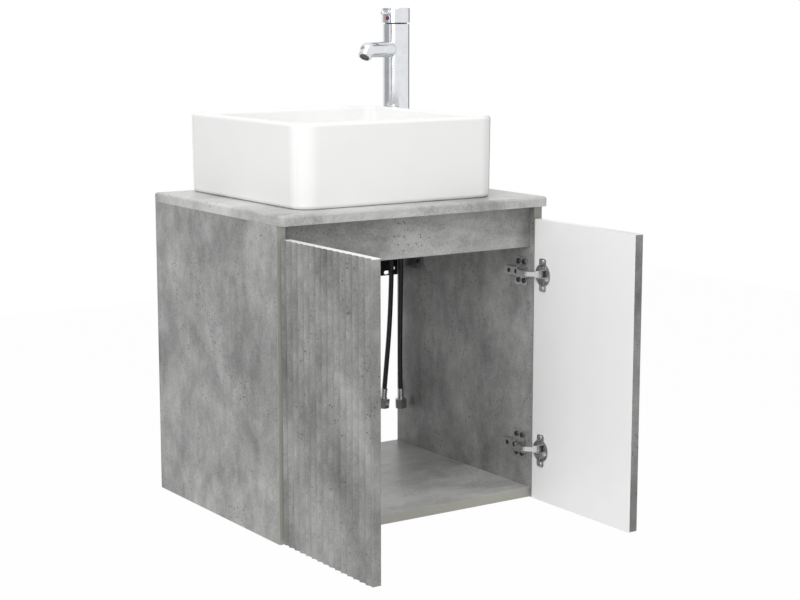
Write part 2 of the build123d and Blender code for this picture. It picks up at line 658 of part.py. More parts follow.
def hanger(side):
    """Bracket on a side panel whose hook drops behind the wall rail's lip."""
    face = -INNER_HALF
    lip_top = RAIL_HEIGHT / 2 + RAIL_LIP_HEIGHT
    plate = block((face, face + HANGER_SHEET), (-HANGER_FRONT, -HANGER_REAR), (-HANGER_BOTTOM, HANGER_TOP))
    hook_x = (face, face + HANGER_HOOK_WIDTH)
    hook_rear = -RAIL_SHELF_DEPTH + RAIL_SHEET + HANGER_GAP + HANGER_HOOK_SHEET
    tie = block(hook_x, (-HANGER_REAR - HANGER_HOOK_SHEET, hook_rear), (lip_top, HANGER_TOP))
    tail_low = RAIL_HEIGHT / 2 + HANGER_GAP
    tail = block(hook_x, (hook_rear - HANGER_HOOK_SHEET, hook_rear), (tail_low, HANGER_TOP))
    stop_y = (-HANGER_REAR - HANGER_HOOK_SHEET, -HANGER_REAR)
    stop = block(hook_x, stop_y, (-HANGER_BOTTOM - HANGER_HOOK_SHEET, HANGER_TOP))
    bracket = plate + tie + tail + stop
    front_corners = bracket.edges().filter_by(Axis.X).group_by(Axis.Y)[0]
    bracket = fillet(front_corners, HANGER_HOOK_SHEET)
    for rise in HANGER_SCREW_HEIGHTS:
        start = Vector(face + HANGER_SHEET + OVERCUT, FRONT_Y + hanger_screw_y(), rise)
        depth = HANGER_SHEET + 2 * OVERCUT
        bracket -= rod(start, Vector(-1, 0, 0), depth, HANGER_SHANK_RADIUS + SCREW_CLEARANCE)
    return bracket if side == "left" else mirror(bracket, about=Plane.YZ)


def hanger_screws(side):
    solids = []
    for rise in HANGER_SCREW_HEIGHTS:
        seat = Vector(-INNER_HALF + HANGER_SHEET, FRONT_Y + hanger_screw_y(), rise)
        solids.append(screw(seat, Vector(-1, 0, 0), HANGER_HEAD_RADIUS, HANGER_SHANK_RADIUS, CONFIRM_LENGTH))
    return solids if side == "left" else [mirror(s, about=Plane.YZ) for s in solids]


# Basin and waste
def basin():
    """Square vessel with softly rounded corners, narrowing a little towards its foot."""
    spread = 2 * BASIN_HEIGHT * math.tan(math.radians(BASIN_TAPER))
    foot = BASIN_WIDTH - spread
    foot_plane = Pos(BASIN_X, BASIN_Y, TOP_Z)
    body = extrude(foot_plane * RectangleRounded(foot, foot, BASIN_CORNER_RADIUS), BASIN_HEIGHT,
                   taper=-BASIN_TAPER)
    body = fillet(body.edges().group_by(Axis.Z)[0], BASIN_FOOT_ROUND)
    bowl = BASIN_WIDTH - 2 * BASIN_WALL
    depth = BASIN_HEIGHT - BASIN_FLOOR
    bowl_foot = bowl - 2 * depth * math.tan(math.radians(BASIN_TAPER))
    bowl_plane = Pos(BASIN_X, BASIN_Y, BASIN_FLOOR_Z)
    hollow = extrude(bowl_plane * RectangleRounded(bowl_foot, bowl_foot, BASIN_INNER_CORNER), depth,
                     taper=-BASIN_TAPER)
    hollow = fillet(hollow.edges().group_by(Axis.Z)[0], BASIN_BOWL_ROUND)
    body -= hollow
    body = fillet(body.edges().group_by(Axis.Z)[-1], BASIN_RIM_ROUND)
    return body - post(BASIN_X, BASIN_Y, TOP_Z - OVERCUT, BASIN_FLOOR_Z + OVERCUT, WASTE_HOLE_RADIUS)


def waste_nut_low():
    """Height of the waste nut's lower face."""
    return CARCASS_TOP_Z - WASTE_GASKET_THICKNESS - WASTE_NUT_HEIGHT


def waste_body():
    """Threaded waste with its flange in the bowl and a thread relief below its nut."""
    low = BASIN_FLOOR_Z - WASTE_LENGTH
    high = BASIN_FLOOR_Z + WASTE_FLANGE_THICKNESS
    flange = post(BASIN_X, BASIN_Y, BASIN_FLOOR_Z, high, WASTE_FLANGE_RADIUS)
    flange = fillet(flange.edges().group_by(Axis.Z)[-1], WASTE_FLANGE_ROUND)
    tube = post(BASIN_X, BASIN_Y, low, BASIN_FLOOR_Z, WASTE_THREAD_RADIUS)
    relief_high = waste_nut_low() - WASTE_RELIEF_DROP
    relief_low = relief_high - WASTE_RELIEF_WIDTH
    relief = post(BASIN_X, BASIN_Y, relief_low, relief_high, WASTE_THREAD_RADIUS + OVERCUT)
    relief -= post(BASIN_X, BASIN_Y, relief_low, relief_high, WASTE_THREAD_RADIUS - WASTE_RELIEF_DEPTH)
    bore = post(BASIN_X, BASIN_Y, low - OVERCUT, high + OVERCUT, WASTE_BORE_RADIUS)
    return flange + tube - relief - bore


def waste_thread_hole(low, high):
    """Cutter for a ring that runs on the waste's thread."""
    return post(BASIN_X, BASIN_Y, low - OVERCUT, high + OVERCUT, WASTE_THREAD_RADIUS + THREAD_CLEARANCE)


def waste_gasket():
    high = CARCASS_TOP_Z
    low = high - WASTE_GASKET_THICKNESS
    ring = post(BASIN_X, BASIN_Y, low, high, WASTE_NUT_RADIUS + WASTE_GASKET_OVERHANG)
    return ring - waste_thread_hole(low, high)


def waste_nut():
    low = waste_nut_low()
    high = low + WASTE_NUT_HEIGHT
    ring = post(BASIN_X, BASIN_Y, low, high, WASTE_NUT_RADIUS)
    for index in range(WASTE_NUT_NOTCHES):
        turn = 2 * math.pi * index / WASTE_NUT_NOTCHES
        x = BASIN_X + WASTE_NUT_RADIUS * math.cos(turn)
        y = BASIN_Y + WASTE_NUT_RADIUS * math.sin(turn)
        ring -= post(x, y, low - OVERCUT, high + OVERCUT, WASTE_NOTCH_RADIUS)
    return ring - waste_thread_hole(low, high)


def waste_plug():
    """Click-clack plug: a low dome over the flange with a guide stem in the waste."""
    low = BASIN_FLOOR_Z + WASTE_FLANGE_THICKNESS + PLUG_SEAT_GAP
    cap = post(BASIN_X, BASIN_Y, low, low + PLUG_THICKNESS, PLUG_RADIUS)
    cap = fillet(cap.edges().group_by(Axis.Z)[-1], PLUG_EDGE_ROUND)
    return cap + post(BASIN_X, BASIN_Y, low - PLUG_STEM_LENGTH, low, PLUG_STEM_RADIUS)


# Tap. Its own frame points +X the way the spout points, with the axis at X = Y = 0.
def place_tap(solid):
    return Pos(TAP_X, TAP_Y, 0) * Rot(0, 0, TAP_POINTING) * solid


def tap_gasket():
    radius = TAP_BODY_RADIUS - TAP_GASKET_INSET
    ring = post(0, 0, TOP_Z, TAP_FOOT_Z, radius)
    return ring - post(0, 0, TOP_Z - OVERCUT, TAP_FOOT_Z + OVERCUT, TAP_BORE_RADIUS)


def tap_body():
    """Upright tube, bored from below for the base and from above for the cartridge."""
    body = post(0, 0, TAP_FOOT_Z, TAP_TOP_Z, TAP_BODY_RADIUS)
    body = fillet(body.edges().group_by(Axis.Z)[-1], PIVOT_GAP)
    body -= post(0, 0, TAP_FOOT_Z - OVERCUT, TAP_FOOT_Z + TAP_BORE_DEPTH, TAP_BORE_RADIUS)
    seat_radius = CARTRIDGE_RADIUS + CARTRIDGE_CLEARANCE
    body -= post(0, 0, TAP_TOP_Z - CARTRIDGE_HEIGHT, TAP_TOP_Z + OVERCUT, seat_radius)
    start = Vector(spout_root(), 0, TOP_Z + SPOUT_HEIGHT)
    return body - rod(start, Vector(1, 0, 0), TAP_BODY_RADIUS, SPOUT_RADIUS + SCREW_CLEARANCE)


def spout_root():
    """Distance from the tap's axis at which the spout starts, inside its seat in the body."""
    return TAP_BODY_RADIUS - SPOUT_SEAT_DEPTH


def aerator_axis():
    tilt = math.radians(AERATOR_TILT)
    return Vector(math.cos(tilt), 0, -math.sin(tilt))


def spout():
    """Round spout with a ball end and a tilted boss for the aerator."""
    height = TOP_Z + SPOUT_HEIGHT
    centre = Vector(SPOUT_REACH, 0, height)
    tube = rod(Vector(spout_root(), 0, height), Vector(1, 0, 0), SPOUT_REACH - spout_root(), SPOUT_RADIUS)
    ball = Pos(centre) * Sphere(SPOUT_RADIUS)
    boss = rod(centre, aerator_axis(), AERATOR_BOSS_LENGTH, AERATOR_BOSS_RADIUS)
    end = boss.edges().filter_by(GeomType.CIRCLE).sort_by(lambda e: e.center().dot(aerator_axis()))[-1]
    boss = fillet(end, HEAD_EDGE_ROUND)
    face = centre + aerator_axis() * AERATOR_BOSS_LENGTH
    pocket_start = face + aerator_axis() * OVERCUT
    pocket_radius = AERATOR_RADIUS + SCREW_CLEARANCE
    pocket = rod(pocket_start, aerator_axis() * -1, AERATOR_DEPTH + OVERCUT, pocket_radius)
    return tube + ball + boss - pocket


def aerator():
    """Screw-in aerator, its face a little inside the boss."""
    centre = Vector(SPOUT_REACH, 0, TOP_Z + SPOUT_HEIGHT)
    face = centre + aerator_axis() * (AERATOR_BOSS_LENGTH - AERATOR_RECESS)
    inward = aerator_axis() * -1
    insert = rod(face, inward, AERATOR_DEPTH - AERATOR_RECESS, AERATOR_RADIUS)
    dish_start = face - inward * OVERCUT
    return insert - rod(dish_start, inward, AERATOR_RECESS + OVERCUT, AERATOR_RADIUS - AERATOR_RIM)


def cartridge():
    low = TAP_TOP_Z - CARTRIDGE_HEIGHT
    high = TAP_TOP_Z - CARTRIDGE_TOP_GAP
    body = post(0, 0, low, high, CARTRIDGE_RADIUS)
    socket_radius = SPINDLE_STEM_RADIUS + SCREW_CLEARANCE
    return body - post(0, 0, high - CARTRIDGE_SOCKET_DEPTH, high + OVERCUT, socket_radius)


def spindle():
    """Turning spindle: stem in the cartridge, a disc and two ears that hold the head's tilt pin."""
    disc_low = TAP_TOP_Z + PIVOT_GAP
    disc_high = disc_low + SPINDLE_DISC_THICKNESS
    stem_low = TAP_TOP_Z - SPINDLE_STEM_HEIGHT
    turned = post(0, 0, disc_low, disc_high, SPINDLE_DISC_RADIUS)
    turned += post(0, 0, stem_low, disc_high, SPINDLE_STEM_RADIUS)
    ear_near = HEAD_LUG_HALF_WIDTH + PIVOT_GAP
    ear_far = ear_near + SPINDLE_EAR_THICKNESS
    ear_x = (-HEAD_PIVOT_BACK - SPINDLE_EAR_RADIUS, SPINDLE_EAR_RADIUS - HEAD_PIVOT_BACK)
    ears = block(ear_x, (-ear_far, ear_far), (disc_low, HEAD_PIVOT_Z))
    pin_start = Vector(-HEAD_PIVOT_BACK, -ear_far, HEAD_PIVOT_Z)
    across = Vector(0, 1, 0)
    ears += rod(pin_start, across, 2 * ear_far, SPINDLE_EAR_RADIUS)
    ears -= block((-HEAD_RADIUS, 0), (-ear_near, ear_near), (disc_high, HEAD_PIVOT_Z + HEAD_HEIGHT))
    ears &= post(0, 0, disc_low, HEAD_PIVOT_Z + HEAD_HEIGHT, SPINDLE_DISC_RADIUS)
    return turned + ears + rod(pin_start, across, 2 * ear_far, HEAD_PIN_RADIUS)


def tap_head():
    """Hollow cap with an inner lug on the tilt pin and a socket for the lever."""
    low = HEAD_BOTTOM_Z
    high = low + HEAD_HEIGHT
    cap = post(HEAD_OFFSET, 0, low, high, HEAD_RADIUS)
    cap = fillet(cap.edges().group_by(Axis.Z)[-1], HEAD_EDGE_ROUND)
    cap = fillet(cap.edges().group_by(Axis.Z)[0], PIVOT_GAP)
    ceiling = high - HEAD_WALL
    cap -= post(HEAD_OFFSET, 0, low - OVERCUT, ceiling, HEAD_RADIUS - HEAD_WALL)
    eye_radius = HEAD_PIN_RADIUS + HEAD_EYE_WALL
    across = Vector(0, 1, 0)
    lug_y = (-HEAD_LUG_HALF_WIDTH, HEAD_LUG_HALF_WIDTH)
    lug_x = (-HEAD_PIVOT_BACK - eye_radius, eye_radius - HEAD_PIVOT_BACK)
    cap += block(lug_x, lug_y, (HEAD_PIVOT_Z, high - HEAD_WALL / 2))
    eye_start = Vector(-HEAD_PIVOT_BACK, lug_y[0], HEAD_PIVOT_Z)
    cap += rod(eye_start, across, 2 * HEAD_LUG_HALF_WIDTH, eye_radius)
    bore_start = eye_start - across * OVERCUT
    bore_length = 2 * (HEAD_LUG_HALF_WIDTH + OVERCUT)
    cap -= rod(bore_start, across, bore_length, HEAD_PIN_RADIUS + PIN_CLEARANCE)
    socket = Vector(lever_root_x(), 0, LEVER_Z)
    outward = Vector(1, 0, 0)
    boss_length = LEVER_SOCKET_END + LEVER_ROOT + HEAD_WALL / 2
    cap += rod(socket - outward * LEVER_SOCKET_END, outward, boss_length, LEVER_RADIUS + LEVER_SOCKET_WALL)
    cap -= rod(socket, outward, HEAD_RADIUS, LEVER_RADIUS + SCREW_CLEARANCE)
    return cap - indicator_rod(SCREW_CLEARANCE) & head_zone()


def lever_root_x():
    """Where the lever's root sits inside the head's wall."""
    return HEAD_OFFSET + HEAD_RADIUS - HEAD_WALL - LEVER_ROOT


def lever():
    """Slim tapered pin with a small collar at the head and a rounded end."""
    root = lever_root_x()
    wall = HEAD_OFFSET + HEAD_RADIUS
    end = wall + LEVER_LENGTH
    points = [
        (root, 0), (root, LEVER_RADIUS), (wall, LEVER_RADIUS), (wall, LEVER_COLLAR_RADIUS),
        (wall + LEVER_COLLAR_LENGTH, LEVER_COLLAR_RADIUS), (wall + LEVER_COLLAR_LENGTH, LEVER_RADIUS),
        (end - LEVER_TIP_RADIUS, LEVER_TIP_RADIUS),
    ]
    outline = Polyline(*points)
    tip = RadiusArc(points[-1], (end, 0), LEVER_TIP_RADIUS)
    closing = Line((end, 0), (root, 0))
    half = make_face(Plane.XZ * (outline + tip + closing))
    solid = revolve(half, Axis.X, 360)
    return Pos(0, 0, LEVER_Z) * solid


def head_zone():
    """Outer limits of the head, which its inner pieces stay within."""
    return post(HEAD_OFFSET, 0, HEAD_BOTTOM_Z, HEAD_BOTTOM_Z + HEAD_HEIGHT, HEAD_RADIUS)


def indicator_axis():
    turn = math.radians(INDICATOR_TURN)
    return Vector(math.cos(turn), math.sin(turn), 0)


def indicator_rod(clearance):
    """Round mark as deep as it is sunk into the head's side, enlarged by a clearance."""
    middle = Vector(HEAD_OFFSET, 0, HEAD_BOTTOM_Z + INDICATOR_RISE)
    mark = rod(middle, indicator_axis(), HEAD_RADIUS + OVERCUT, INDICATOR_RADIUS + clearance)
    core_radius = HEAD_RADIUS - INDICATOR_DEPTH
    return mark - post(HEAD_OFFSET, 0, HEAD_BOTTOM_Z, HEAD_BOTTOM_Z + HEAD_HEIGHT, core_radius)


def indicator(half):
    """Half of the round temperature mark, flush with the head's side."""
    side = Vector(-indicator_axis().Y, indicator_axis().X, 0)
    sign = -1 if half == "hot" else 1
    middle = Vector(HEAD_OFFSET, 0, HEAD_BOTTOM_Z + INDICATOR_RISE) + side * (sign * INDICATOR_RADIUS)
    plane = Plane(origin=middle, x_dir=side, z_dir=indicator_axis())
    cutter = plane * Box(2 * INDICATOR_RADIUS, 4 * INDICATOR_RADIUS, 4 * HEAD_RADIUS)
    return indicator_rod(0) & head_zone() & cutter


# Tap fixing and hoses, in a frame whose +X runs along the line of the two hoses
def place_fixing(solid):
    return Pos(TAP_X, TAP_Y, 0) * Rot(0, 0, HOSE_LINE_TURN) * solid


def tap_base():
    """Round insert in the tap's foot that takes the stud and the hoses."""
    high = TAP_FOOT_Z + TAP_BASE_THICKNESS
    disc = post(0, 0, TAP_FOOT_Z, high, TAP_BORE_RADIUS - SCREW_CLEARANCE)
    return disc - stud_hole(TAP_FOOT_Z, high)


def stud_hole(low, high):
    """Cutter for a piece that the stud passes through."""
    return post(0, STUD_OFFSET, low - OVERCUT, high + OVERCUT, STUD_RADIUS + SCREW_CLEARANCE)


def fixing_stud():
    return post(0, STUD_OFFSET, TOP_Z - STUD_LENGTH, TAP_FOOT_Z + TAP_BASE_THICKNESS, STUD_RADIUS)


def fixing_washer():
    """Half-moon washer under the countertop, clear of the hoses."""
    low = CARCASS_TOP_Z - WASHER_THICKNESS
    cut_y = HOSE_RADIUS + WASHER_HOSE_GAP
    disc = post(0, 0, low, CARCASS_TOP_Z, WASHER_RADIUS)
    disc &= block((-WASHER_RADIUS, WASHER_RADIUS), (cut_y, WASHER_RADIUS), (low, CARCASS_TOP_Z))
    return disc - stud_hole(low, CARCASS_TOP_Z)


def fixing_nut():
    high = CARCASS_TOP_Z - WASHER_THICKNESS
    low = high - FIX_NUT_HEIGHT
    hexagon = RegularPolygon(FIX_NUT_FLATS / 2, 6, major_radius=False)
    return extrude(Pos(0, STUD_OFFSET, low) * hexagon, FIX_NUT_HEIGHT) - stud_hole(low, high)


def hose_points(sign):
    """Route of one hose in the fixing frame, hanging from the tap's base."""
    points = []
    for drop, sway, lean, spread in zip(HOSE_DROPS, HOSE_SWAYS, HOSE_LEANS, HOSE_SPREADS):
        x = sign * (HOSE_SPACING / 2 + spread) + sway
        points.append(Vector(x, lean * (1 + sign * HOSE_LEAN_DIFFERENCE), TAP_FOOT_Z - drop))
    return points


def hose(sign):
    points = hose_points(sign)
    radii = []
    for before, corner, after in zip(points, points[1:], points[2:]):
        turn = math.radians((corner - before).get_angle(after - corner))
        shorter = min((corner - before).length, (after - corner).length)
        radii.append(HOSE_FILLET_SHARE * shorter / math.tan(turn / 2))
    path = FilletPolyline(*points, radius=radii)
    section = Plane(origin=points[0], z_dir=points[1] - points[0]) * Circle(HOSE_RADIUS)
    tube = sweep(section, path=path)
    share = tube.volume / (math.pi * HOSE_RADIUS ** 2 * path.length)
    print("hose", sign, "length", round(path.length, 1), "volume share", round(share, 5),
          "radii", [round(r) for r in radii])
    return tube


def hose_end(sign):
    """Crimped ferrule and union nut on the hose's lower end."""
    points = hose_points(sign)
    run = (points[-1] - points[-2]).normalized()
    start = points[-1]
    ferrule = rod(start, run, FERRULE_LENGTH, FERRULE_RADIUS)
    nut_start = start + run * FERRULE_LENGTH
    plane = Plane(origin=nut_start, z_dir=run)
    nut = extrude(plane * RegularPolygon(UNION_RADIUS, 6, major_radius=False), UNION_LENGTH)
    mouth = nut_start + run * (UNION_LENGTH + OVERCUT)
    return ferrule + nut - rod(mouth, run * -1, UNION_THREAD_LENGTH + OVERCUT, UNION_THREAD_RADIUS)


def build_nodes():
    """All pieces by node name."""
    nodes = {
        "bottom_panel": bottom_panel(),
        "front_rail": front_rail(),
        "countertop": countertop(),
        "wall_rail": wall_rail(),
        "basin": basin(),
        "waste_body": waste_body(),
        "waste_gasket": waste_gasket(),
        "waste_nut": waste_nut(),
        "waste_plug": waste_plug(),
        "tap_gasket": place_tap(tap_gasket()),
        "tap_body": place_tap(tap_body()),
        "spout": place_tap(spout()),
        "aerator": place_tap(aerator()),
        "cartridge": place_tap(cartridge()),
        "spindle": place_tap(spindle()),
        "tap_head": place_tap(tap_head()),
        "lever": place_tap(lever()),
        "indicator_hot": place_tap(indicator("hot")),
        "indicator_cold": place_tap(indicator("cold")),
        "tap_base": place_fixing(tap_base()),
        "fixing_stud": place_fixing(fixing_stud()),
        "fixing_washer": place_fixing(fixing_washer()),
        "fixing_nut": place_fixing(fixing_nut()),
    }
    for name, sign in (("hot", -1), ("cold", 1)):
        nodes[f"hose_{name}"] = place_fixing(hose(sign))
        nodes[f"hose_end_{name}"] = place_fixing(hose_end(sign))
    for side in ("left", "right"):
        nodes[f"{side}_side_panel"] = side_panel(side)
        nodes[f"{side}_door"] = door(side)
        nodes[f"{side}_hanger"] = hanger(side)
        door_screws = []
        cabinet_screws = []
        for level_name, level in HINGE_HEIGHTS.items():
            label = f"{side}_{level_name}"
            nodes[f"{label}_hinge_plate"] = place_hinge_frame(mounting_plate(), side, level)
            nodes[f"{label}_hinge_arm"] = place_hinge_frame(hinge_arm(), side, level)
            nodes[f"{label}_hinge_pin"] = place_hinge_frame(pivot_pin(), side, level)
            nodes[f"{label}_hinge_link"] = place_hinge_frame(hinge_link(), side, level)
            nodes[f"{label}_hinge_cup"] = place_hinge_frame(swing_open(hinge_cup()), side, level)
            door_screws += [place_hinge_frame(swing_open(s), side, level) for s in cup_screws()]
            cabinet_screws += [place_hinge_frame(s, side, level) for s in plate_screws() + adjusters()]
        nodes[f"{side}_cup_screws"] = Compound(door_screws)
        nodes[f"{side}_plate_screws"] = Compound(cabinet_screws)
        nodes[f"{side}_hanger_screws"] = Compound(hanger_screws(side))
    return nodes


os.makedirs("parts", exist_ok=True)
for node_name, node_solid in build_nodes().items():
    export_step(node_solid, f"parts/{node_name}.step")
print("pole", POLE, "link pivot", LINK_PIVOT, "cup pivot", cup_pivot(0), LINK_OPEN_END)
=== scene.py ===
"""Wall-hung vanity unit with a concrete-print cabinet, a square basin and a tall mixer tap.

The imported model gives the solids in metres, with +Z up and +Y into the wall. This script dresses
them, models the finer pieces over them and sets up the studio.
"""

from __future__ import annotations

import logging
import math
from abc import ABC, abstractmethod
from collections.abc import Callable, Mapping, Sequence
from dataclasses import dataclass
from enum import Enum
from typing import Any

import bpy
from mathutils import Matrix, Vector

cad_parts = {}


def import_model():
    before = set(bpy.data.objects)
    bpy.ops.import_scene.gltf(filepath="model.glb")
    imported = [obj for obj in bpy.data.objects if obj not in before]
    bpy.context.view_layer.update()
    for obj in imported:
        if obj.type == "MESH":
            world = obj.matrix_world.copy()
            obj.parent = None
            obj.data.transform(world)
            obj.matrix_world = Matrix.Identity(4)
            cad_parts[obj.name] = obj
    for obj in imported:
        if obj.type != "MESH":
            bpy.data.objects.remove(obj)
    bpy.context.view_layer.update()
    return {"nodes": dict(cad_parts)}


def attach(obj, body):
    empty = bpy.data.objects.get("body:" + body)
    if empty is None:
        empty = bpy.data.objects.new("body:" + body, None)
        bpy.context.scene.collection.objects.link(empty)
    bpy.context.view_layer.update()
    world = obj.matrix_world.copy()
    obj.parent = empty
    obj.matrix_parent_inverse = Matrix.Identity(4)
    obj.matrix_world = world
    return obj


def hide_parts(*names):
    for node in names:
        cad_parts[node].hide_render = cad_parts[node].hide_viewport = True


LOG = logging.getLogger("vanity")
Colour = tuple[float, float, float, float]
Point = tuple[float, float, float]
WHITE: Colour = (1.0, 1.0, 1.0, 1.0)
BLACK: Colour = (0.0, 0.0, 0.0, 1.0)
MM_PER_M = 1000.0


class Side(Enum):
    """The two sides of the cabinet as seen from the front."""

    LEFT = "left"
    RIGHT = "right"


class Grain(Enum):
    """Direction in which the concrete print runs on a board."""

    UPRIGHT = (1.0, 1.0, 0.7)
    ACROSS = (0.7, 1.0, 1.0)


def colour(hex_code: str) -> Colour:
    """Turn an sRGB hex value into the linear colour that the shaders read.

    Args:
        hex_code: Six hexadecimal digits after a hash sign.

    Returns:
        Linear red, green and blue with full alpha.
    """
    shares = [int(hex_code[start : start + 2], 16) / 255 for start in (1, 3, 5)]
    linear = [s / 12.92 if s <= 0.04045 else ((s + 0.055) / 1.055) ** 2.4 for s in shares]
    return (linear[0], linear[1], linear[2], 1.0)


def add_node(
    tree: bpy.types.NodeTree,
    kind: str,
    settings: Mapping[str | int, Any] | None = None,
    links: Mapping[str | int, bpy.types.NodeSocket] | None = None,
) -> bpy.types.Node:
    """Add a shader node with its settings and links.

    Args:
        tree: Node tree that gets the node.
        kind: Blender's name for the node type.
        settings: Values of the node's own properties, or of its inputs by name or number. The
            key "stops" holds a colour ramp's positions and colours.
        links: Output sockets to join to the inputs of those names or numbers.

    Returns:
        The new node.
    """
    node = tree.nodes.new(kind)
    for key, value in (settings or {}).items():
        if key == "stops":
            steps = node.color_ramp.elements
            while len(steps) < len(value):
                steps.new(1.0)
            for step, (position, shade) in zip(steps, value):
                step.position = position
                step.color = shade
        elif isinstance(key, str) and hasattr(node, key):
            setattr(node, key, value)
        else:
            node.inputs[key].default_value = value
    for key, source in (links or {}).items():
        tree.links.new(source, node.inputs[key])
    return node


def start_material(name: str) -> tuple[bpy.types.Material, bpy.types.NodeTree]:
    """Make an empty node material.

    Args:
        name: The real material's name.

    Returns:
        The material and its node tree.
    """
    material = bpy.data.materials.new(name)
    material.use_nodes = True
    material.node_tree.nodes.clear()
    return material, material.node_tree


class Finish(ABC):
    """A surface finish that can be laid on a piece."""

    @abstractmethod
    def make(self) -> bpy.types.Material:
        """Build the finish's material."""


@dataclass(frozen=True)
class ConcretePrint(Finish):
    """Melamine paper printed as cast concrete, pressed on chipboard.

    To the eye: cloudy mid-greys 50 to 150 mm across, faint runs along the board, sandy speckle
    and small dark pores in clusters, under a dull sheen that brightens at a low angle.
    """

    name: str = "concrete_print_melamine"
    grain: Grain = Grain.UPRIGHT
    dark: str = "#737372"
    middle: str = "#959594"
    light: str = "#b9b9b8"
    pore: str = "#474746"
    roughness: float = 0.42
    shift: Point = (0.0, 0.0, 0.0)
    ior: float = 1.5
    cloud_mm: float = 110.0
    streak_mm: float = MM_PER_M / 62
    streak_stretch: float = 0.10
    streak_share: float = 0.14
    mottle_mm: float = MM_PER_M / 48
    mottle_share: float = 0.50
    sand_mm: float = MM_PER_M / 330
    sand_share: float = 0.44
    tone_stops: tuple[float, float, float] = (0.27, 0.49, 0.73)
    pore_mm: float = 8.0
    pore_edge: tuple[float, float] = (0.10, 0.24)
    pore_strength: float = 0.85
    cluster_mm: float = MM_PER_M / 17
    cluster_edge: tuple[float, float] = (0.50, 0.60)
    relief_mm: float = 0.2
    relief_strength: float = 0.25
    gloss_drift: tuple[float, float] = (-0.06, 0.08)

    def run_along(
        self, tree: bpy.types.NodeTree, place: bpy.types.NodeSocket, scale: Sequence[float]
    ) -> bpy.types.NodeSocket:
        """Stretch the place vector along the board.

        Args:
            tree: Material's node tree.
            place: Object coordinates.
            scale: Stretch of each axis, where less than 1 draws the pattern out.

        Returns:
            The stretched vector.
        """
        settings = {"Scale": tuple(scale), "Location": self.shift}
        return add_node(tree, "ShaderNodeMapping", settings, {"Vector": place}).outputs["Vector"]

    def lay_tone(
        self,
        tree: bpy.types.NodeTree,
        place: bpy.types.NodeSocket,
        along: bpy.types.NodeSocket,
    ) -> tuple[bpy.types.NodeSocket, bpy.types.NodeSocket, bpy.types.NodeSocket]:
        """Add up clouds, runs, mottle and sand to the print's grey.

        Args:
            tree: Material's node tree.
            place: Object coordinates.
            along: Object coordinates drawn out along the board.

        Returns:
            The grey, the clouds and the sand's part.
        """
        streak_scale = [self.streak_stretch if s < 1 else 1.0 for s in self.grain.value]
        run = self.run_along(tree, place, streak_scale)
        clouds = add_node(
            tree,
            "ShaderNodeTexNoise",
            {
                "Scale": MM_PER_M / self.cloud_mm,
                "Detail": 7.0,
                "Roughness": 0.55,
                "Distortion": 0.2,
            },
            {"Vector": along},
        ).outputs["Fac"]
        # The sand comes last, because its part also feeds the relief.
        layers = (
            (run, self.streak_mm, 4.0, 0.6, self.streak_share),
            (along, self.mottle_mm, 5.0, 0.68, self.mottle_share),
            (place, self.sand_mm, 3.0, 0.7, self.sand_share),
        )
        tone = clouds
        for vector, size_mm, detail, roughness, share in layers:
            noise = add_node(
                tree,
                "ShaderNodeTexNoise",
                {"Scale": MM_PER_M / size_mm, "Detail": detail, "Roughness": roughness},
                {"Vector": vector},
            ).outputs["Fac"]
            part = add_node(
                tree,
                "ShaderNodeMath",
                {"operation": "MULTIPLY_ADD", 1: share, 2: -share / 2},
                {0: noise},
            ).outputs[0]
            tone = add_node(
                tree, "ShaderNodeMath", {"operation": "ADD"}, {0: tone, 1: part}
            ).outputs[0]
        shades = [colour(shade) for shade in (self.dark, self.middle, self.light)]
        grey = add_node(
            tree,
            "ShaderNodeValToRGB",
            {"stops": list(zip(self.tone_stops, shades))},
            {"Fac": tone},
        ).outputs["Color"]
        return grey, clouds, part

    def sink_pores(
        self,
        tree: bpy.types.NodeTree,
        place: bpy.types.NodeSocket,
        along: bpy.types.NodeSocket,
    ) -> bpy.types.NodeSocket:
        """Spread small pores in clusters.

        Args:
            tree: Material's node tree.
            place: Object coordinates.
            along: Object coordinates drawn out along the board.

        Returns:
            The pores' depth, from 0 to 1.
        """
        cells = add_node(
            tree,
            "ShaderNodeTexVoronoi",
            {"Scale": MM_PER_M / self.pore_mm, "Randomness": 1.0},
            {"Vector": place},
        ).outputs["Distance"]
        spots = add_node(
            tree,
            "ShaderNodeValToRGB",
            {"stops": list(zip(self.pore_edge, (WHITE, BLACK)))},
            {"Fac": cells},
        ).outputs["Color"]
        clusters = add_node(
            tree,
            "ShaderNodeTexNoise",
            {"Scale": MM_PER_M / self.cluster_mm, "Detail": 3.0},
            {"Vector": along},
        ).outputs["Fac"]
        mask = add_node(
            tree,
            "ShaderNodeValToRGB",
            {"stops": list(zip(self.cluster_edge, (BLACK, WHITE)))},
            {"Fac": clusters},
        ).outputs["Color"]
        return add_node(
            tree, "ShaderNodeMath", {"operation": "MULTIPLY"}, {0: spots, 1: mask}
        ).outputs[0]

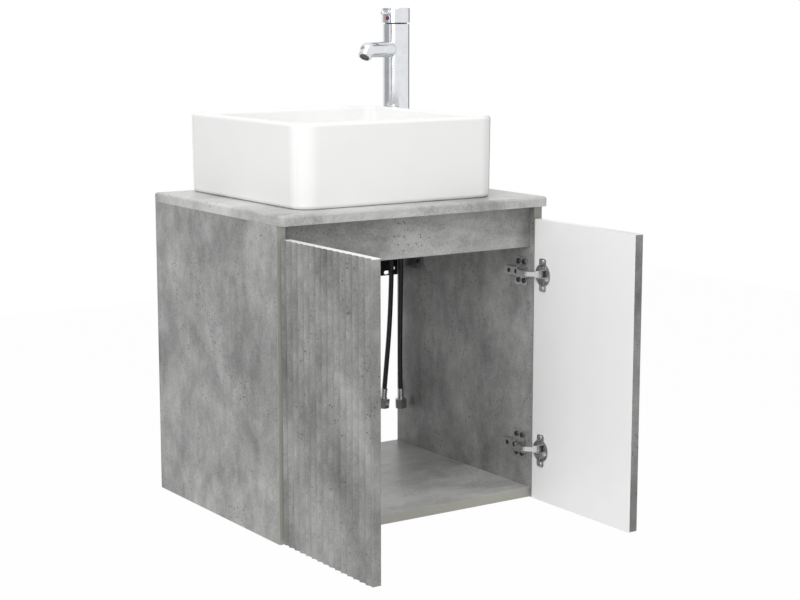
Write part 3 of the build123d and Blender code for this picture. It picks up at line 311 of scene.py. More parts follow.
    def make(self) -> bpy.types.Material:
        """Build the printed laminate's material.

        Returns:
            The finished material.
        """
        material, tree = start_material(self.name)
        place = add_node(tree, "ShaderNodeTexCoord").outputs["Object"]
        along = self.run_along(tree, place, self.grain.value)
        grey, clouds, sand = self.lay_tone(tree, place, along)
        pores = self.sink_pores(tree, place, along)
        share = add_node(
            tree,
            "ShaderNodeMath",
            {"operation": "MULTIPLY", 1: self.pore_strength},
            {0: pores},
        ).outputs[0]
        face = add_node(
            tree,
            "ShaderNodeMix",
            {"data_type": "RGBA", 7: colour(self.pore)},
            {0: share, 6: grey},
        ).outputs[2]
        relief = add_node(
            tree, "ShaderNodeMath", {"operation": "SUBTRACT"}, {0: sand, 1: pores}
        ).outputs[0]
        bump = add_node(
            tree,
            "ShaderNodeBump",
            {"Strength": self.relief_strength, "Distance": self.relief_mm / MM_PER_M},
            {"Height": relief},
        ).outputs["Normal"]
        smoother, duller = (self.roughness + drift for drift in self.gloss_drift)
        gloss = add_node(
            tree,
            "ShaderNodeMapRange",
            {"To Min": smoother, "To Max": duller},
            {"Value": clouds},
        ).outputs["Result"]
        shader = add_node(
            tree,
            "ShaderNodeBsdfPrincipled",
            {"IOR": self.ior},
            {"Base Color": face, "Roughness": gloss, "Normal": bump},
        ).outputs["BSDF"]
        add_node(tree, "ShaderNodeOutputMaterial", links={"Surface": shader})
        return material


@dataclass(frozen=True)
class SmoothCoat(Finish):
    """A coated, moulded or glazed surface with slight unevenness of tone and gloss.

    To the eye: an even colour whose tone drifts by a few percent and whose highlights are broken
    a little by the surface's texture.
    """

    name: str
    tint: str
    roughness: float
    ior: float = 1.5
    coat: float = 0.0
    drift: float = 0.03
    texture_mm: float = 1.2
    relief_mm: float = 0.01
    relief_strength: float = 0.3
    patch_mm: float = MM_PER_M / 22
    gloss_drift: float = 0.15
    coat_roughness: float = 0.03

    def make(self) -> bpy.types.Material:
        """Build the coat's material.

        Returns:
            The finished material.
        """
        material, tree = start_material(self.name)
        place = add_node(tree, "ShaderNodeTexCoord").outputs["Object"]
        patches = add_node(
            tree,
            "ShaderNodeTexNoise",
            {"Scale": MM_PER_M / self.patch_mm, "Detail": 4.0},
            {"Vector": place},
        ).outputs["Fac"]
        base = colour(self.tint)
        low = tuple(c * (1 - self.drift) for c in base[:3]) + (1.0,)
        high = tuple(min(1.0, c * (1 + self.drift)) for c in base[:3]) + (1.0,)
        tone = add_node(
            tree, "ShaderNodeValToRGB", {"stops": [(0.3, low), (0.7, high)]}, {"Fac": patches}
        ).outputs["Color"]
        grit = add_node(
            tree,
            "ShaderNodeTexNoise",
            {"Scale": MM_PER_M / self.texture_mm, "Detail": 2.0},
            {"Vector": place},
        ).outputs["Fac"]
        bump = add_node(
            tree,
            "ShaderNodeBump",
            {"Strength": self.relief_strength, "Distance": self.relief_mm / MM_PER_M},
            {"Height": grit},
        ).outputs["Normal"]
        gloss = add_node(
            tree,
            "ShaderNodeMapRange",
            {
                "To Min": self.roughness * (1 - self.gloss_drift),
                "To Max": self.roughness * (1 + self.gloss_drift),
            },
            {"Value": patches},
        ).outputs["Result"]
        shader = add_node(
            tree,
            "ShaderNodeBsdfPrincipled",
            {
                "IOR": self.ior,
                "Coat Weight": self.coat,
                "Coat Roughness": self.coat_roughness,
            },
            {"Base Color": tone, "Roughness": gloss, "Normal": bump},
        ).outputs["BSDF"]
        add_node(tree, "ShaderNodeOutputMaterial", links={"Surface": shader})
        return material


@dataclass(frozen=True)
class PlatedMetal(Finish):
    """Plated or polished metal.

    To the eye: a mirror or satin reflection with faint clouding, and fine rolling lines where
    the piece was stamped from strip.
    """

    name: str
    tint: str
    roughness: float
    cloud_mm: float = 14.0
    line_mm: float = 0.0
    line_stretch: float = 0.04
    line_depth_mm: float = 0.03
    line_strength: float = 0.25
    gloss_drift: float = 0.3
    dull_share: float = 0.93

    def make(self) -> bpy.types.Material:
        """Build the metal's material.

        Returns:
            The finished material.
        """
        material, tree = start_material(self.name)
        place = add_node(tree, "ShaderNodeTexCoord").outputs["Object"]
        clouds = add_node(
            tree,
            "ShaderNodeTexNoise",
            {"Scale": MM_PER_M / self.cloud_mm, "Detail": 5.0, "Roughness": 0.6},
            {"Vector": place},
        ).outputs["Fac"]
        gloss = add_node(
            tree,
            "ShaderNodeMapRange",
            {
                "To Min": self.roughness * (1 - self.gloss_drift),
                "To Max": self.roughness * (1 + self.gloss_drift),
            },
            {"Value": clouds},
        ).outputs["Result"]
        base = colour(self.tint)
        dull = tuple(c * self.dull_share for c in base[:3]) + (1.0,)
        tone = add_node(
            tree, "ShaderNodeValToRGB", {"stops": [(0.35, dull), (0.6, base)]}, {"Fac": clouds}
        ).outputs["Color"]
        links = {"Base Color": tone, "Roughness": gloss}
        if self.line_mm > 0:
            stretch = add_node(
                tree,
                "ShaderNodeMapping",
                {"Scale": (1.0, 1.0, self.line_stretch)},
                {"Vector": place},
            ).outputs["Vector"]
            lines = add_node(
                tree,
                "ShaderNodeTexNoise",
                {"Scale": MM_PER_M / self.line_mm, "Detail": 3.0},
                {"Vector": stretch},
            ).outputs["Fac"]
            links["Normal"] = add_node(
                tree,
                "ShaderNodeBump",
                {"Strength": self.line_strength, "Distance": self.line_depth_mm / MM_PER_M},
                {"Height": lines},
            ).outputs["Normal"]
        shader = add_node(
            tree, "ShaderNodeBsdfPrincipled", {"Metallic": 1.0}, links
        ).outputs["BSDF"]
        add_node(tree, "ShaderNodeOutputMaterial", links={"Surface": shader})
        return material


@dataclass(frozen=True)
class BraidedSleeve(Finish):
    """Dark braided sleeve over a rubber hose.

    To the eye: small crossing lozenges, black in their gaps. The real wires are 0.25 mm, too
    fine to show, so bundles of 2.2 mm are drawn.
    """

    name: str = "dark_wire_braid_hose"
    thread: str = "#4a4a4d"
    gap: str = "#121214"
    length_mm: float = 368.0
    bundle_mm: float = 2.2
    around: float = 12.0
    roughness: float = 0.38
    metallic: float = 0.35
    relief_mm: float = 0.3
    relief_strength: float = 0.6

    def make(self) -> bpy.types.Material:
        """Build the braid's material from the hose's own UV map.

        Returns:
            The finished material.
        """
        material, tree = start_material(self.name)
        uv = add_node(tree, "ShaderNodeTexCoord").outputs["UV"]
        parts = add_node(tree, "ShaderNodeSeparateXYZ", links={"Vector": uv})
        cycles = self.length_mm / self.bundle_mm / 2
        run = add_node(
            tree,
            "ShaderNodeMath",
            {"operation": "MULTIPLY", 1: 2 * math.pi * cycles},
            {0: parts.outputs["X"]},
        ).outputs[0]
        turn = add_node(
            tree,
            "ShaderNodeMath",
            {"operation": "MULTIPLY", 1: 2 * math.pi * self.around / 2},
            {0: parts.outputs["Y"]},
        ).outputs[0]
        waves = []
        for operation in ("ADD", "SUBTRACT"):
            angle = add_node(
                tree, "ShaderNodeMath", {"operation": operation}, {0: run, 1: turn}
            ).outputs[0]
            wave = add_node(tree, "ShaderNodeMath", {"operation": "SINE"}, {0: angle}).outputs[0]
            waves.append(
                add_node(tree, "ShaderNodeMath", {"operation": "ABSOLUTE"}, {0: wave}).outputs[0]
            )
        height = add_node(
            tree, "ShaderNodeMath", {"operation": "MULTIPLY"}, {0: waves[0], 1: waves[1]}
        ).outputs[0]
        tone = add_node(
            tree,
            "ShaderNodeValToRGB",
            {"stops": [(0.05, colour(self.gap)), (0.75, colour(self.thread))]},
            {"Fac": height},
        ).outputs["Color"]
        bump = add_node(
            tree,
            "ShaderNodeBump",
            {"Strength": self.relief_strength, "Distance": self.relief_mm / MM_PER_M},
            {"Height": height},
        ).outputs["Normal"]
        shader = add_node(
            tree,
            "ShaderNodeBsdfPrincipled",
            {"Roughness": self.roughness, "Metallic": self.metallic},
            {"Base Color": tone, "Normal": bump},
        ).outputs["BSDF"]
        add_node(tree, "ShaderNodeOutputMaterial", links={"Surface": shader})
        return material


# Printed melamine on the upright boards: cloudy mid-grey, faintly drawn out upwards.
UPRIGHT_BOARD = ConcretePrint()
# Foil pressed over the flutes: the same print, a shade darker.
DOOR_FOIL = ConcretePrint(
    name="concrete_print_door_foil",
    shift=(0.31, 0.12, 0.57),
    dark="#636362",
    middle="#838382",
    light="#a3a3a2",
)
# Printed melamine on the front rail: the upright boards' print turned across.
RAIL_BOARD = ConcretePrint("concrete_print_rail", Grain.ACROSS)
# Printed melamine on the countertop and bottom: the same print painted paler than on the upright
# boards, which is painted light from above and painted sheen at a low angle; its lower roughness
# also makes it glossier at a low angle.
PAINTED_LIGHT_LEVEL_BOARD = ConcretePrint(
    name="concrete_print_level_board_painted_light",
    grain=Grain.ACROSS,
    shift=(0.2, 0.7, 0.1),
    dark="#949492",
    middle="#b8b8b6",
    light="#d0d0ce",
    roughness=0.33,
)
# ABS edge band: a plain warm grey with a slight sheen, a shade lighter than the boards.
EDGE_BAND = SmoothCoat("grey_abs_edge_band", "#a3a29a", 0.42, drift=0.05, texture_mm=2.5)
# White melamine: an even, faintly pebbled white with a soft sheen.
WHITE_MELAMINE = SmoothCoat(
    "white_melamine", "#f4f4f4", 0.34, drift=0.008, texture_mm=1.0, relief_mm=0.012
)
# Glazed vitreous china: a deep wet gloss over white with barely any orange peel.
GLAZE = SmoothCoat(
    "white_glazed_china", "#f6f6f5", 0.12, ior=1.52, coat=0.35, drift=0.006, texture_mm=9.0
)
# Chromed brass: a clean cool mirror.
CHROME = PlatedMetal("chromed_brass", "#e3e5e8", 0.12)
# Nickel-plated strip steel: a satin silver with fine rolling lines.
NICKEL = PlatedMetal("nickel_plated_steel", "#c9c9c9", 0.26, line_mm=0.7)
# Zinc-plated steel: a cool, slightly blotched light grey.
ZINC = PlatedMetal("zinc_plated_steel", "#bfc2c4", 0.34, cloud_mm=6.0)
# Dark passivated screws: a smoky brown-grey metal.
DARK_ZINC = PlatedMetal("dark_passivated_steel", "#5f5b55", 0.36, cloud_mm=4.0)
# Turned brass: warm yellow with a soft polish.
BRASS = PlatedMetal("turned_brass", "#c9a45c", 0.24)
# Black powder coat: fine orange peel with a dull sheen.
POWDER_COAT = SmoothCoat(
    "black_powder_coat", "#1b1b1c", 0.5, drift=0.1, texture_mm=0.9, relief_mm=0.03
)
# Moulded black nylon: a dull black that never quite goes flat.
BLACK_NYLON = SmoothCoat("black_moulded_nylon", "#202021", 0.48, drift=0.1)
# Black rubber: nearly matt, without a clear highlight.
RUBBER = SmoothCoat("black_rubber", "#1a1a1a", 0.7, drift=0.12)
# Moulded acetal, dark grey and off-white: a waxy, half-gloss plastic.
GREY_ACETAL = SmoothCoat("grey_moulded_acetal", "#4c4f52", 0.4, drift=0.06)
WHITE_ACETAL = SmoothCoat("white_moulded_acetal", "#dcdcd6", 0.35, drift=0.03)
# Gloss plastic of the temperature mark: saturated red and blue with a small sharp highlight.
RED_MARK = SmoothCoat("red_gloss_plastic", "#b3161f", 0.22, drift=0.04)
BLUE_MARK = SmoothCoat("blue_gloss_plastic", "#2a3f9e", 0.22, drift=0.04)


def deselect_all() -> None:
    """Leave nothing selected, so that an operator acts on the new piece alone."""
    if bpy.context.object and bpy.context.object.mode != "OBJECT":
        bpy.ops.object.mode_set(mode="OBJECT")
    bpy.ops.object.select_all(action="DESELECT")


def pick_faces(piece: bpy.types.Object, wanted: Callable[[bpy.types.MeshPolygon], bool]) -> None:
    """Select the faces of a piece that pass a test, and go back to edit mode.

    Args:
        piece: Mesh object in edit mode.
        wanted: Test of one face.
    """
    bpy.ops.mesh.select_mode(type="FACE")
    bpy.ops.mesh.select_all(action="DESELECT")
    bpy.ops.object.mode_set(mode="OBJECT")
    for face in piece.data.polygons:
        face.select = wanted(face)
    bpy.ops.object.mode_set(mode="EDIT")


def turn_piece(name: str, profile: Sequence[tuple[float, float]], sides: int) -> bpy.types.Object:
    """Build a turned or hexagonal piece by extruding and resizing a disc, standing on +Z.

    Args:
        name: Name of the new piece.
        profile: Pairs of radius and height, from the bottom up, in metres.
        sides: Number of sides.

    Returns:
        The new piece.
    """
    deselect_all()
    bpy.ops.mesh.primitive_circle_add(vertices=sides, radius=profile[0][0], fill_type="NGON")
    piece = bpy.context.object
    piece.name = name
    bpy.ops.object.mode_set(mode="EDIT")
    bpy.ops.transform.translate(value=(0, 0, profile[0][1]))
    for (radius, height), (wider, higher) in zip(profile, profile[1:]):
        bpy.ops.mesh.extrude_region_move(
            TRANSFORM_OT_translate={"value": (0, 0, higher - height)}
        )
        share = wider / radius
        bpy.ops.transform.resize(value=(share, share, 1))
    bpy.ops.mesh.select_all(action="SELECT")
    bpy.ops.mesh.normals_make_consistent(inside=False)
    bpy.ops.object.mode_set(mode="OBJECT")
    return piece


def bore_piece(piece: bpy.types.Object, radius: float, low: float, high: float) -> None:
    """Cut a round hole along +Z into a piece.

    Args:
        piece: Piece to cut.
        radius: The hole's radius.
        low: Lower end of the cutter.
        high: Upper end of the cutter.
    """
    deselect_all()
    bpy.ops.mesh.primitive_cylinder_add(
        vertices=48, radius=radius, depth=high - low, location=(0, 0, (low + high) / 2)
    )
    cutter = bpy.context.object
    cut = piece.modifiers.new("bore", "BOOLEAN")
    cut.operation = "DIFFERENCE"
    cut.solver = "EXACT"
    cut.object = cutter
    bpy.context.view_layer.objects.active = piece
    bpy.ops.object.modifier_apply(modifier=cut.name)
    bpy.data.objects.remove(cutter)


def stand_along(piece: bpy.types.Object, foot: Point, direction: Point) -> None:
    """Stand a piece modelled on +Z at a point, along a direction, with its place in its mesh.

    Args:
        piece: Piece to place.
        foot: Point for the piece's origin.
        direction: Direction for its +Z.
    """
    turn = Vector(direction).to_track_quat("Z", "Y").to_matrix().to_4x4()
    deselect_all()
    piece.matrix_world = Matrix.Translation(Vector(foot)) @ turn
    piece.select_set(True)
    bpy.context.view_layer.objects.active = piece
    bpy.ops.object.transform_apply(location=True, rotation=True, scale=True)


def smooth(piece: bpy.types.Object, degrees: float = 35.0) -> None:
    """Shade a piece smoothly, up to an angle between faces.

    Args:
        piece: Piece to shade.
        degrees: Angle above which an edge stays sharp.
    """
    deselect_all()
    piece.select_set(True)
    bpy.context.view_layer.objects.active = piece
    bpy.ops.object.shade_smooth_by_angle(angle=math.radians(degrees))


class Dresser:
    """Lays finishes on pieces, building each finish once."""

    def __init__(self, nodes: Mapping[str, bpy.types.Object]) -> None:
        """Keep the frame's nodes.

        Args:
            nodes: CAD nodes by name.
        """
        self.nodes = nodes
        self.made: dict[Finish, bpy.types.Material] = {}

    def material(self, finish: Finish) -> bpy.types.Material:
        """Give a finish's material, made on its first use."""
        if finish not in self.made:
            self.made[finish] = finish.make()
        return self.made[finish]

    def dress(self, piece: bpy.types.Object | str, finish: Finish) -> bpy.types.Object:
        """Lay one finish all over a piece.

        Args:
            piece: Piece, or the name of a CAD node.
            finish: Finish to lay.

        Returns:
            The dressed piece.
        """
        target = self.nodes[piece] if isinstance(piece, str) else piece
        target.data.materials.clear()
        target.data.materials.append(self.material(finish))
        LOG.info("%s: %s", target.name, finish.name)
        return target

    def dress_faces(
        self,
        piece: bpy.types.Object | str,
        finish: Finish,
        wanted: Callable[[bpy.types.MeshPolygon], bool],
    ) -> None:
        """Lay a further finish on some faces of a dressed piece.

        Args:
            piece: Piece, or the name of a CAD node.
            finish: Finish to lay.
            wanted: Test of one face.
        """
        target = self.nodes[piece] if isinstance(piece, str) else piece
        target.data.materials.append(self.material(finish))
        index = len(target.data.materials) - 1
        for face in target.data.polygons:
            if wanted(face):
                face.material_index = index


@dataclass(frozen=True)
class Lamp:
    """One soft square lamp, with its edge in metres and its power in watts."""

    name: str
    place: Point
    aim: Point
    size: float
    power: float


@dataclass(frozen=True)
class Card:
    """One upright grey card between two opposite corners."""

    name: str
    low: Point
    high: Point
    shade: str


@dataclass
class Studio:
    """Camera, lamps, white surroundings and floor."""

    camera_place: Point = (-1.49595, -2.5674, 0.43871)
    heading: float = 0.59204
    look_down: float = 0.16376
    lens_mm: float = 80.2
    sensor_mm: float = 36.0
    view_depth: float = 50.0
    floor_drop: float = 0.85
    floor_size: float = 9.0
    floor_tone: float = 0.86
    floor_glow: float = 0.975
    ambient: float = 0.52
    lamps: tuple[Lamp, ...] = (
        Lamp("top_lamp", (-0.9, -1.3, 2.6), (0.0, -0.3, 0.1), 2.0, 44.0),
        Lamp("front_lamp", (-2.9, -2.2, 1.1), (0.0, -0.3, 0.0), 1.5, 36.0),
    )
    cards: tuple[Card, ...] = (
        Card("left_card", (-1.30, 0.07, -0.6), (-0.46, 1.32, 1.6), "#b4b5b7"),
        Card("right_card", (1.69, 0.13, -0.6), (1.41, 0.86, 1.6), "#8d8e90"),
        Card("narrow_card", (-1.225, -0.50, -0.6), (-1.267, -0.348, 1.6), "#4c4d4f"),
    )

    def set_camera(self) -> None:
        """Stand the camera at the photograph's viewpoint."""
        lens = bpy.data.cameras.new("studio_camera")
        lens.lens = self.lens_mm
        lens.sensor_width = self.sensor_mm
        lens.clip_end = self.view_depth
        camera = bpy.data.objects.new("studio_camera", lens)
        bpy.context.scene.collection.objects.link(camera)
        camera.location = self.camera_place
        camera.rotation_euler = (math.pi / 2 - self.look_down, 0.0, -self.heading)
        bpy.context.scene.camera = camera
        bpy.context.scene.view_settings.view_transform = "Standard"

    def set_world(self) -> None:
        """Surround the object with white, as camera, gloss and glass see it, and soft light."""
        world = bpy.data.worlds.new("white_studio")
        world.use_nodes = True
        bpy.context.scene.world = world
        tree = world.node_tree
        tree.nodes.clear()
        seen = self.seen_share(tree)
        light = add_node(
            tree,
            "ShaderNodeMapRange",
            {"To Min": self.ambient, "To Max": 1.0},
            {"Value": seen},
        ).outputs["Result"]
        sky = add_node(
            tree,
            "ShaderNodeBackground",
            {"Color": WHITE},
            {"Strength": light},
        ).outputs["Background"]
        add_node(tree, "ShaderNodeOutputWorld", links={"Surface": sky})

    @staticmethod
    def seen_share(tree: bpy.types.NodeTree) -> bpy.types.NodeSocket:
        """Give 1 for rays from the camera, from gloss and through glass, and 0 for the rest.

        Args:
            tree: Node tree to add to.

        Returns:
            The output socket with that number.
        """
        path = add_node(tree, "ShaderNodeLightPath")
        gloss = add_node(
            tree,
            "ShaderNodeMath",
            {"operation": "MAXIMUM"},
            {0: path.outputs["Is Camera Ray"], 1: path.outputs["Is Glossy Ray"]},
        ).outputs[0]
        return add_node(
            tree,
            "ShaderNodeMath",
            {"operation": "MAXIMUM"},
            {0: gloss, 1: path.outputs["Is Transmission Ray"]},
        ).outputs[0]

    def lay_floor(self) -> None:
        """Lay a pale floor below the object, which keeps a faint shadow."""
        deselect_all()
        bpy.ops.mesh.primitive_plane_add(
            size=self.floor_size, location=(0.0, 0.0, -self.floor_drop)
        )
        floor = bpy.context.object
        floor.name = "studio_floor"
        material, tree = start_material("white_paper_floor")
        seen = self.seen_share(tree)
        share = add_node(
            tree, "ShaderNodeMath", {"operation": "MULTIPLY", 1: self.floor_glow}, {0: seen}
        ).outputs[0]
        tone = self.floor_tone
        paper = add_node(
            tree, "ShaderNodeBsdfDiffuse", {"Color": (tone, tone, tone, 1.0)}
        ).outputs["BSDF"]
        glow = add_node(
            tree, "ShaderNodeEmission", {"Color": WHITE, "Strength": 1.0}
        ).outputs["Emission"]
        mixed = add_node(
            tree, "ShaderNodeMixShader", links={0: share, 1: paper, 2: glow}
        ).outputs["Shader"]
        add_node(tree, "ShaderNodeOutputMaterial", links={"Surface": mixed})
        floor.data.materials.append(material)

    @staticmethod
    def hang_lamp(plan: Lamp) -> None:
        """Hang one soft square lamp.

        Args:
            plan: Lamp to hang.
        """
        lamp = bpy.data.lights.new(plan.name, "AREA")
        lamp.shape = "SQUARE"
        lamp.size = plan.size
        lamp.energy = plan.power
        holder = bpy.data.objects.new(plan.name, lamp)
        bpy.context.scene.collection.objects.link(holder)
        holder.location = plan.place
        way = Vector(plan.aim) - Vector(plan.place)
        holder.rotation_euler = way.to_track_quat("-Z", "Y").to_euler()

    @staticmethod
    def stand_card(plan: Card) -> None:
        """Stand a grey card outside the view, which only glossy surfaces show.

        Args:
            plan: Card to stand.
        """
        deselect_all()
        bpy.ops.mesh.primitive_plane_add(size=1.0)
        card = bpy.context.object
        card.name = plan.name
        low, high = plan.low, plan.high
        corners = [low, (high[0], high[1], low[2]), (low[0], low[1], high[2]), high]
        for vertex, corner in zip(card.data.vertices, corners):
            vertex.co = corner
        material, tree = start_material(plan.name + "_cloth")
        cloth = add_node(
            tree, "ShaderNodeEmission", {"Color": colour(plan.shade), "Strength": 1.0}
        ).outputs["Emission"]
        add_node(tree, "ShaderNodeOutputMaterial", links={"Surface": cloth})
        card.data.materials.append(material)
        card.visible_camera = False
        card.visible_diffuse = False
        card.visible_shadow = False

    def light_object(self) -> None:
        """Hang the lamps and stand the grey cards."""
        for lamp in self.lamps:
            self.hang_lamp(lamp)
        for card in self.cards:
            self.stand_card(card)


@dataclass
class SupplyHose:
    """Braided tail hanging from the tap's base, with its crimped ferrule and union nut."""

    service: str
    route: Sequence[Point]
    length: float
    diameter: float = 0.0085
    ferrule_length: float = 0.018
    ferrule_radius: float = 0.0056
    nut_length: float = 0.017
    nut_radius: float = 0.0095
    thread_radius: float = 0.0083
    thread_length: float = 0.011
    crimp_levels: tuple[float, ...] = (0.004, 0.008, 0.012)
    crimp_depth: float = 0.0007
    crimp_slope: float = 0.0006
    crimp_width: float = 0.0010
    end_chamfer: float = 0.0006
    nut_chamfer: float = 0.0009
    ferrule_rim: float = 0.0004
    ferrule_sides: int = 40
    overcut: float = 0.002

    def hang(self, dresser: Dresser) -> bpy.types.Object:
        """Hang the hose along its route.

        Args:
            dresser: Lays the finishes.

        Returns:
            The hose.
        """
        line = bpy.data.curves.new(f"{self.service}_supply_hose", "CURVE")
        line.dimensions = "3D"
        # A unit bevel and the points' own radius give the curve its true box.
        line.bevel_depth = 1.0
        line.bevel_resolution = 5
        line.resolution_u = 16
        strand = line.splines.new("NURBS")
        strand.points.add(len(self.route) - 1)
        for point, place in zip(strand.points, self.route):
            point.co = (*place, 1.0)
            point.radius = self.diameter / 2
        strand.order_u = 3
        strand.use_endpoint_u = True
        hose = bpy.data.objects.new(f"{self.service}_supply_hose", line)
        bpy.context.scene.collection.objects.link(hose)
        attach(hose, "cabinet")
        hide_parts(f"hose_{self.service}")
        return dresser.dress(hose, BraidedSleeve())

    def crimp_ferrule(self, dresser: Dresser) -> bpy.types.Object:
        """Model the ferrule with its crimp grooves and the union nut as one end piece.

        Args:
            dresser: Lays the finishes.

        Returns:
            The hose's end piece.
        """
        radius = self.ferrule_radius
        groove = radius - self.crimp_depth
        profile = [(radius - self.end_chamfer, 0.0), (radius, self.end_chamfer)]
        for level in self.crimp_levels:
            bottom = level + self.crimp_slope
            top = bottom + self.crimp_width
            profile += [(radius, level), (groove, bottom)]
            profile += [(groove, top), (radius, top + self.crimp_slope)]
        base = self.ferrule_length
        profile += [(radius, base - self.ferrule_rim), (radius, base)]
        ferrule = turn_piece(f"{self.service}_hose_ferrule", profile, self.ferrule_sides)
        nut_radius = self.nut_radius / math.cos(math.pi / 6)
        chamfer = self.nut_chamfer
        nut_profile = [
            (nut_radius - chamfer, base),
            (nut_radius, base + chamfer),
            (nut_radius, base + self.nut_length - chamfer),
            (nut_radius - chamfer, base + self.nut_length),
        ]
        nut = turn_piece(f"{self.service}_hose_nut", nut_profile, 6)
        mouth = base + self.nut_length
        bore_piece(nut, self.thread_radius, mouth - self.thread_length, mouth + self.overcut)
        deselect_all()
        nut.select_set(True)
        ferrule.select_set(True)
        bpy.context.view_layer.objects.active = ferrule
        bpy.ops.object.join()
        before, end = (Vector(p) for p in self.route[-2:])
        stand_along(ferrule, tuple(end), tuple((end - before).normalized()))
        smooth(ferrule)
        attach(ferrule, "cabinet")
        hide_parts(f"hose_end_{self.service}")
        return dresser.dress(ferrule, NICKEL)

    def build(self, dresser: Dresser) -> None:
        """Args:
            dresser: Lays the finishes.
        """
        hose = self.hang(dresser)
        end = self.crimp_ferrule(dresser)


@dataclass
class Carcass:
    """Side panels, bottom, front rail and countertop."""

    front: float = -0.385
    band_depth: float = 0.0012
    # A face belongs to the front edge band if its normal points further forward than this.
    facing: float = -0.5

    def dress(self, dresser: Dresser) -> None:
        """Lay the concrete print on the boards and the edge band on their front edges.

        Args:
            dresser: Lays the finishes.
        """
        for side in Side:
            dresser.dress(f"{side.value}_side_panel", UPRIGHT_BOARD)
            dresser.dress_faces(f"{side.value}_side_panel", EDGE_BAND, self.is_front_edge)
        dresser.dress("front_rail", RAIL_BOARD)
        # The bottom panel and the countertop take the paler print, whose paleness is painted light
        # from above.
        dresser.dress("bottom_panel", PAINTED_LIGHT_LEVEL_BOARD)
        dresser.dress_faces("bottom_panel", EDGE_BAND, self.is_front_edge)
        dresser.dress("countertop", PAINTED_LIGHT_LEVEL_BOARD)

    def is_front_edge(self, face: bpy.types.MeshPolygon) -> bool:
        """Tell whether a face lies on a board's front edge."""
        return face.normal.y < self.facing and face.center.y < self.front + self.band_depth


@dataclass
class Door:
    """One fluted door with its hinge cups, open at rest."""

    side: Side
    # A face is plain inside or at an end if its normal points that way by more than this.
    facing: float = 0.75

    def dress(self, dresser: Dresser) -> None:
        """Lay the foil outside and white inside and on the top and bottom edges.

        Args:
            dresser: Lays the finishes.
        """
        name = self.side.value
        inward = 1.0 if self.side is Side.LEFT else -1.0
        dresser.dress(f"{name}_door", DOOR_FOIL)
        dresser.dress_faces(
            f"{name}_door",
            WHITE_MELAMINE,
            lambda face: max(face.normal.x * inward, abs(face.normal.z)) > self.facing,
        )
        dresser.dress(f"{name}_cup_screws", ZINC)


@dataclass
class HingePair:
    """Two concealed hinges on one side."""

    side: Side
    levels: tuple[str, str] = ("lower", "upper")

    def dress(self, dresser: Dresser) -> None:
        """Lay the plating on the hinges and their screws.

        Args:
            dresser: Lays the finishes.
        """
        name = self.side.value
        for level in self.levels:
            for part in ("plate", "arm", "link", "cup", "pin"):
                dresser.dress(f"{name}_{level}_hinge_{part}", NICKEL)
        dresser.dress(f"{name}_plate_screws", DARK_ZINC)


@dataclass
class WallFixing:
    """Wall rail with the cabinet's hangers."""

    def dress(self, dresser: Dresser) -> None:
        """Lay the rail's coat and the hangers' plating.

        Args:
            dresser: Lays the finishes.
        """
        dresser.dress("wall_rail", POWDER_COAT)
        for side in Side:
            dresser.dress(f"{side.value}_hanger", ZINC)
            dresser.dress(f"{side.value}_hanger_screws", DARK_ZINC)


@dataclass
class BasinSet:
    """Vessel basin with its waste."""

    def dress(self, dresser: Dresser) -> None:
        """Lay the glaze, the plating and the plastics.

        Args:
            dresser: Lays the finishes.
        """
        dresser.dress("basin", GLAZE)
        dresser.dress("waste_body", CHROME)
        dresser.dress("waste_plug", CHROME)
        dresser.dress("waste_gasket", RUBBER)
        dresser.dress("waste_nut", BLACK_NYLON)


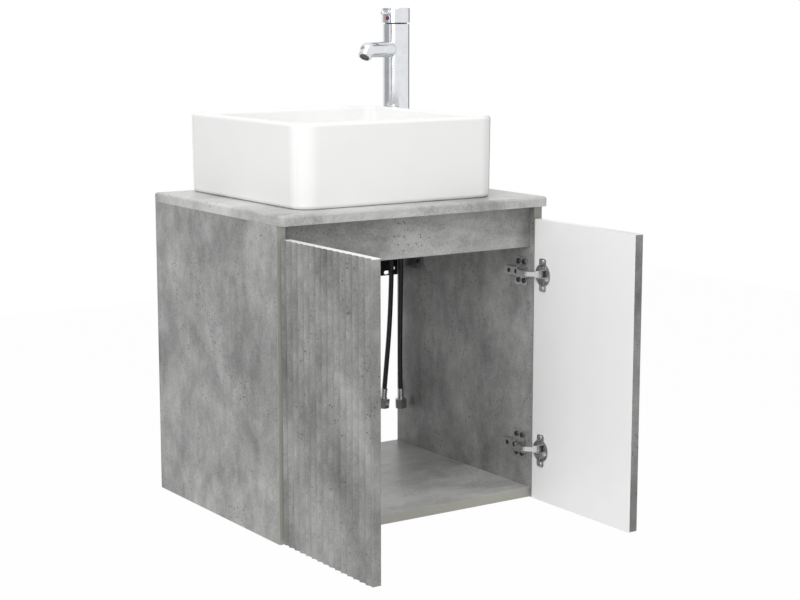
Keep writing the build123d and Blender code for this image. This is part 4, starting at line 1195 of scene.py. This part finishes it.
@dataclass
class Tap:
    """Tall mixer tap with its fixing below the countertop."""

    aerator_middle: Point = (0.11796, -0.07161, 0.366)
    aerator_way: Point = (-0.58018, -0.27671, -0.76604)
    grid_distance: float = 0.01345
    grid_radius: float = 0.0065
    cell: float = 0.0013
    rim: float = 0.0004
    half_bar: float = 0.00022
    bar_height: float = 0.0004

    def dress(self, dresser: Dresser) -> None:
        """Lay the chrome, the marks and the plastics.

        Args:
            dresser: Lays the finishes.
        """
        for name in ("tap_body", "spout", "tap_head", "lever"):
            dresser.dress(name, CHROME)
        dresser.dress("aerator", GREY_ACETAL)
        dresser.dress("cartridge", WHITE_ACETAL)
        # The spindle gets the dark grey acetal so that the gap between the tap head and the body
        # reads dark: painted shade in that gap.
        dresser.dress("spindle", GREY_ACETAL)
        dresser.dress("indicator_hot", RED_MARK)
        dresser.dress("indicator_cold", BLUE_MARK)
        dresser.dress("tap_gasket", RUBBER)
        dresser.dress("tap_base", BLACK_NYLON)
        dresser.dress("fixing_stud", BRASS)
        dresser.dress("fixing_nut", BRASS)
        dresser.dress("fixing_washer", RUBBER)

    def model_aerator_grid(self, dresser: Dresser) -> None:
        """Model the fine grid in the aerator's mouth.

        Args:
            dresser: Lays the finishes.
        """
        deselect_all()
        count = 2 * math.ceil(self.grid_radius / self.cell)
        bpy.ops.mesh.primitive_grid_add(
            x_subdivisions=count, y_subdivisions=count, size=count * self.cell
        )
        grid = bpy.context.object
        grid.name = "aerator_grid"
        bpy.ops.object.mode_set(mode="EDIT")
        reach = self.grid_radius - self.rim
        pick_faces(grid, lambda face: face.center.xy.length > reach)
        bpy.ops.mesh.delete(type="FACE")
        bpy.ops.mesh.select_all(action="SELECT")
        bpy.ops.mesh.inset(thickness=self.half_bar, use_individual=True)
        bpy.ops.mesh.delete(type="FACE")
        bpy.ops.object.mode_set(mode="OBJECT")
        thick = grid.modifiers.new("bars", "SOLIDIFY")
        thick.thickness = self.bar_height
        bpy.ops.object.modifier_apply(modifier=thick.name)
        middle = Vector(self.aerator_middle) + Vector(self.aerator_way) * self.grid_distance
        stand_along(grid, tuple(middle), self.aerator_way)
        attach(grid, "cabinet")
        dresser.dress(grid, GREY_ACETAL)


HOT_ROUTE: Sequence[Point] = (
    (0.19427, -0.02768, 0.146),
    (0.19427, -0.02768, 0.102),
    (0.19527, -0.02741, 0.056),
    (0.19579, -0.02623, 0.009),
    (0.19509, -0.02528, -0.040),
    (0.19330, -0.02474, -0.090),
    (0.19036, -0.02396, -0.138),
    (0.18681, -0.02208, -0.184),
    (0.18452, -0.01991, -0.222),
)
COLD_ROUTE: Sequence[Point] = (
    (0.20773, -0.03632, 0.146),
    (0.20773, -0.03632, 0.102),
    (0.20888, -0.03583, 0.056),
    (0.20981, -0.03438, 0.009),
    (0.20953, -0.03352, -0.040),
    (0.20849, -0.03366, -0.090),
    (0.20738, -0.03446, -0.138),
    (0.20697, -0.03474, -0.184),
    (0.20833, -0.03465, -0.222),
)


def main() -> None:
    """Build the vanity unit's look piece by piece."""
    logging.basicConfig(level=logging.INFO, format="%(name)s %(message)s")
    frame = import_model()
    dresser = Dresser(frame["nodes"])
    studio = Studio()
    studio.set_camera()
    SupplyHose("hot", HOT_ROUTE, 0.3685).build(dresser)
    SupplyHose("cold", COLD_ROUTE, 0.3681).build(dresser)
    studio.set_world()
    studio.lay_floor()
    studio.light_object()
    Carcass().dress(dresser)
    for side in Side:
        Door(side).dress(dresser)
        HingePair(side).dress(dresser)
    WallFixing().dress(dresser)
    BasinSet().dress(dresser)
    tap = Tap()
    tap.dress(dresser)
    tap.model_aerator_grid(dresser)
    bpy.context.view_layer.update()


if __name__ == "__main__":
    main()
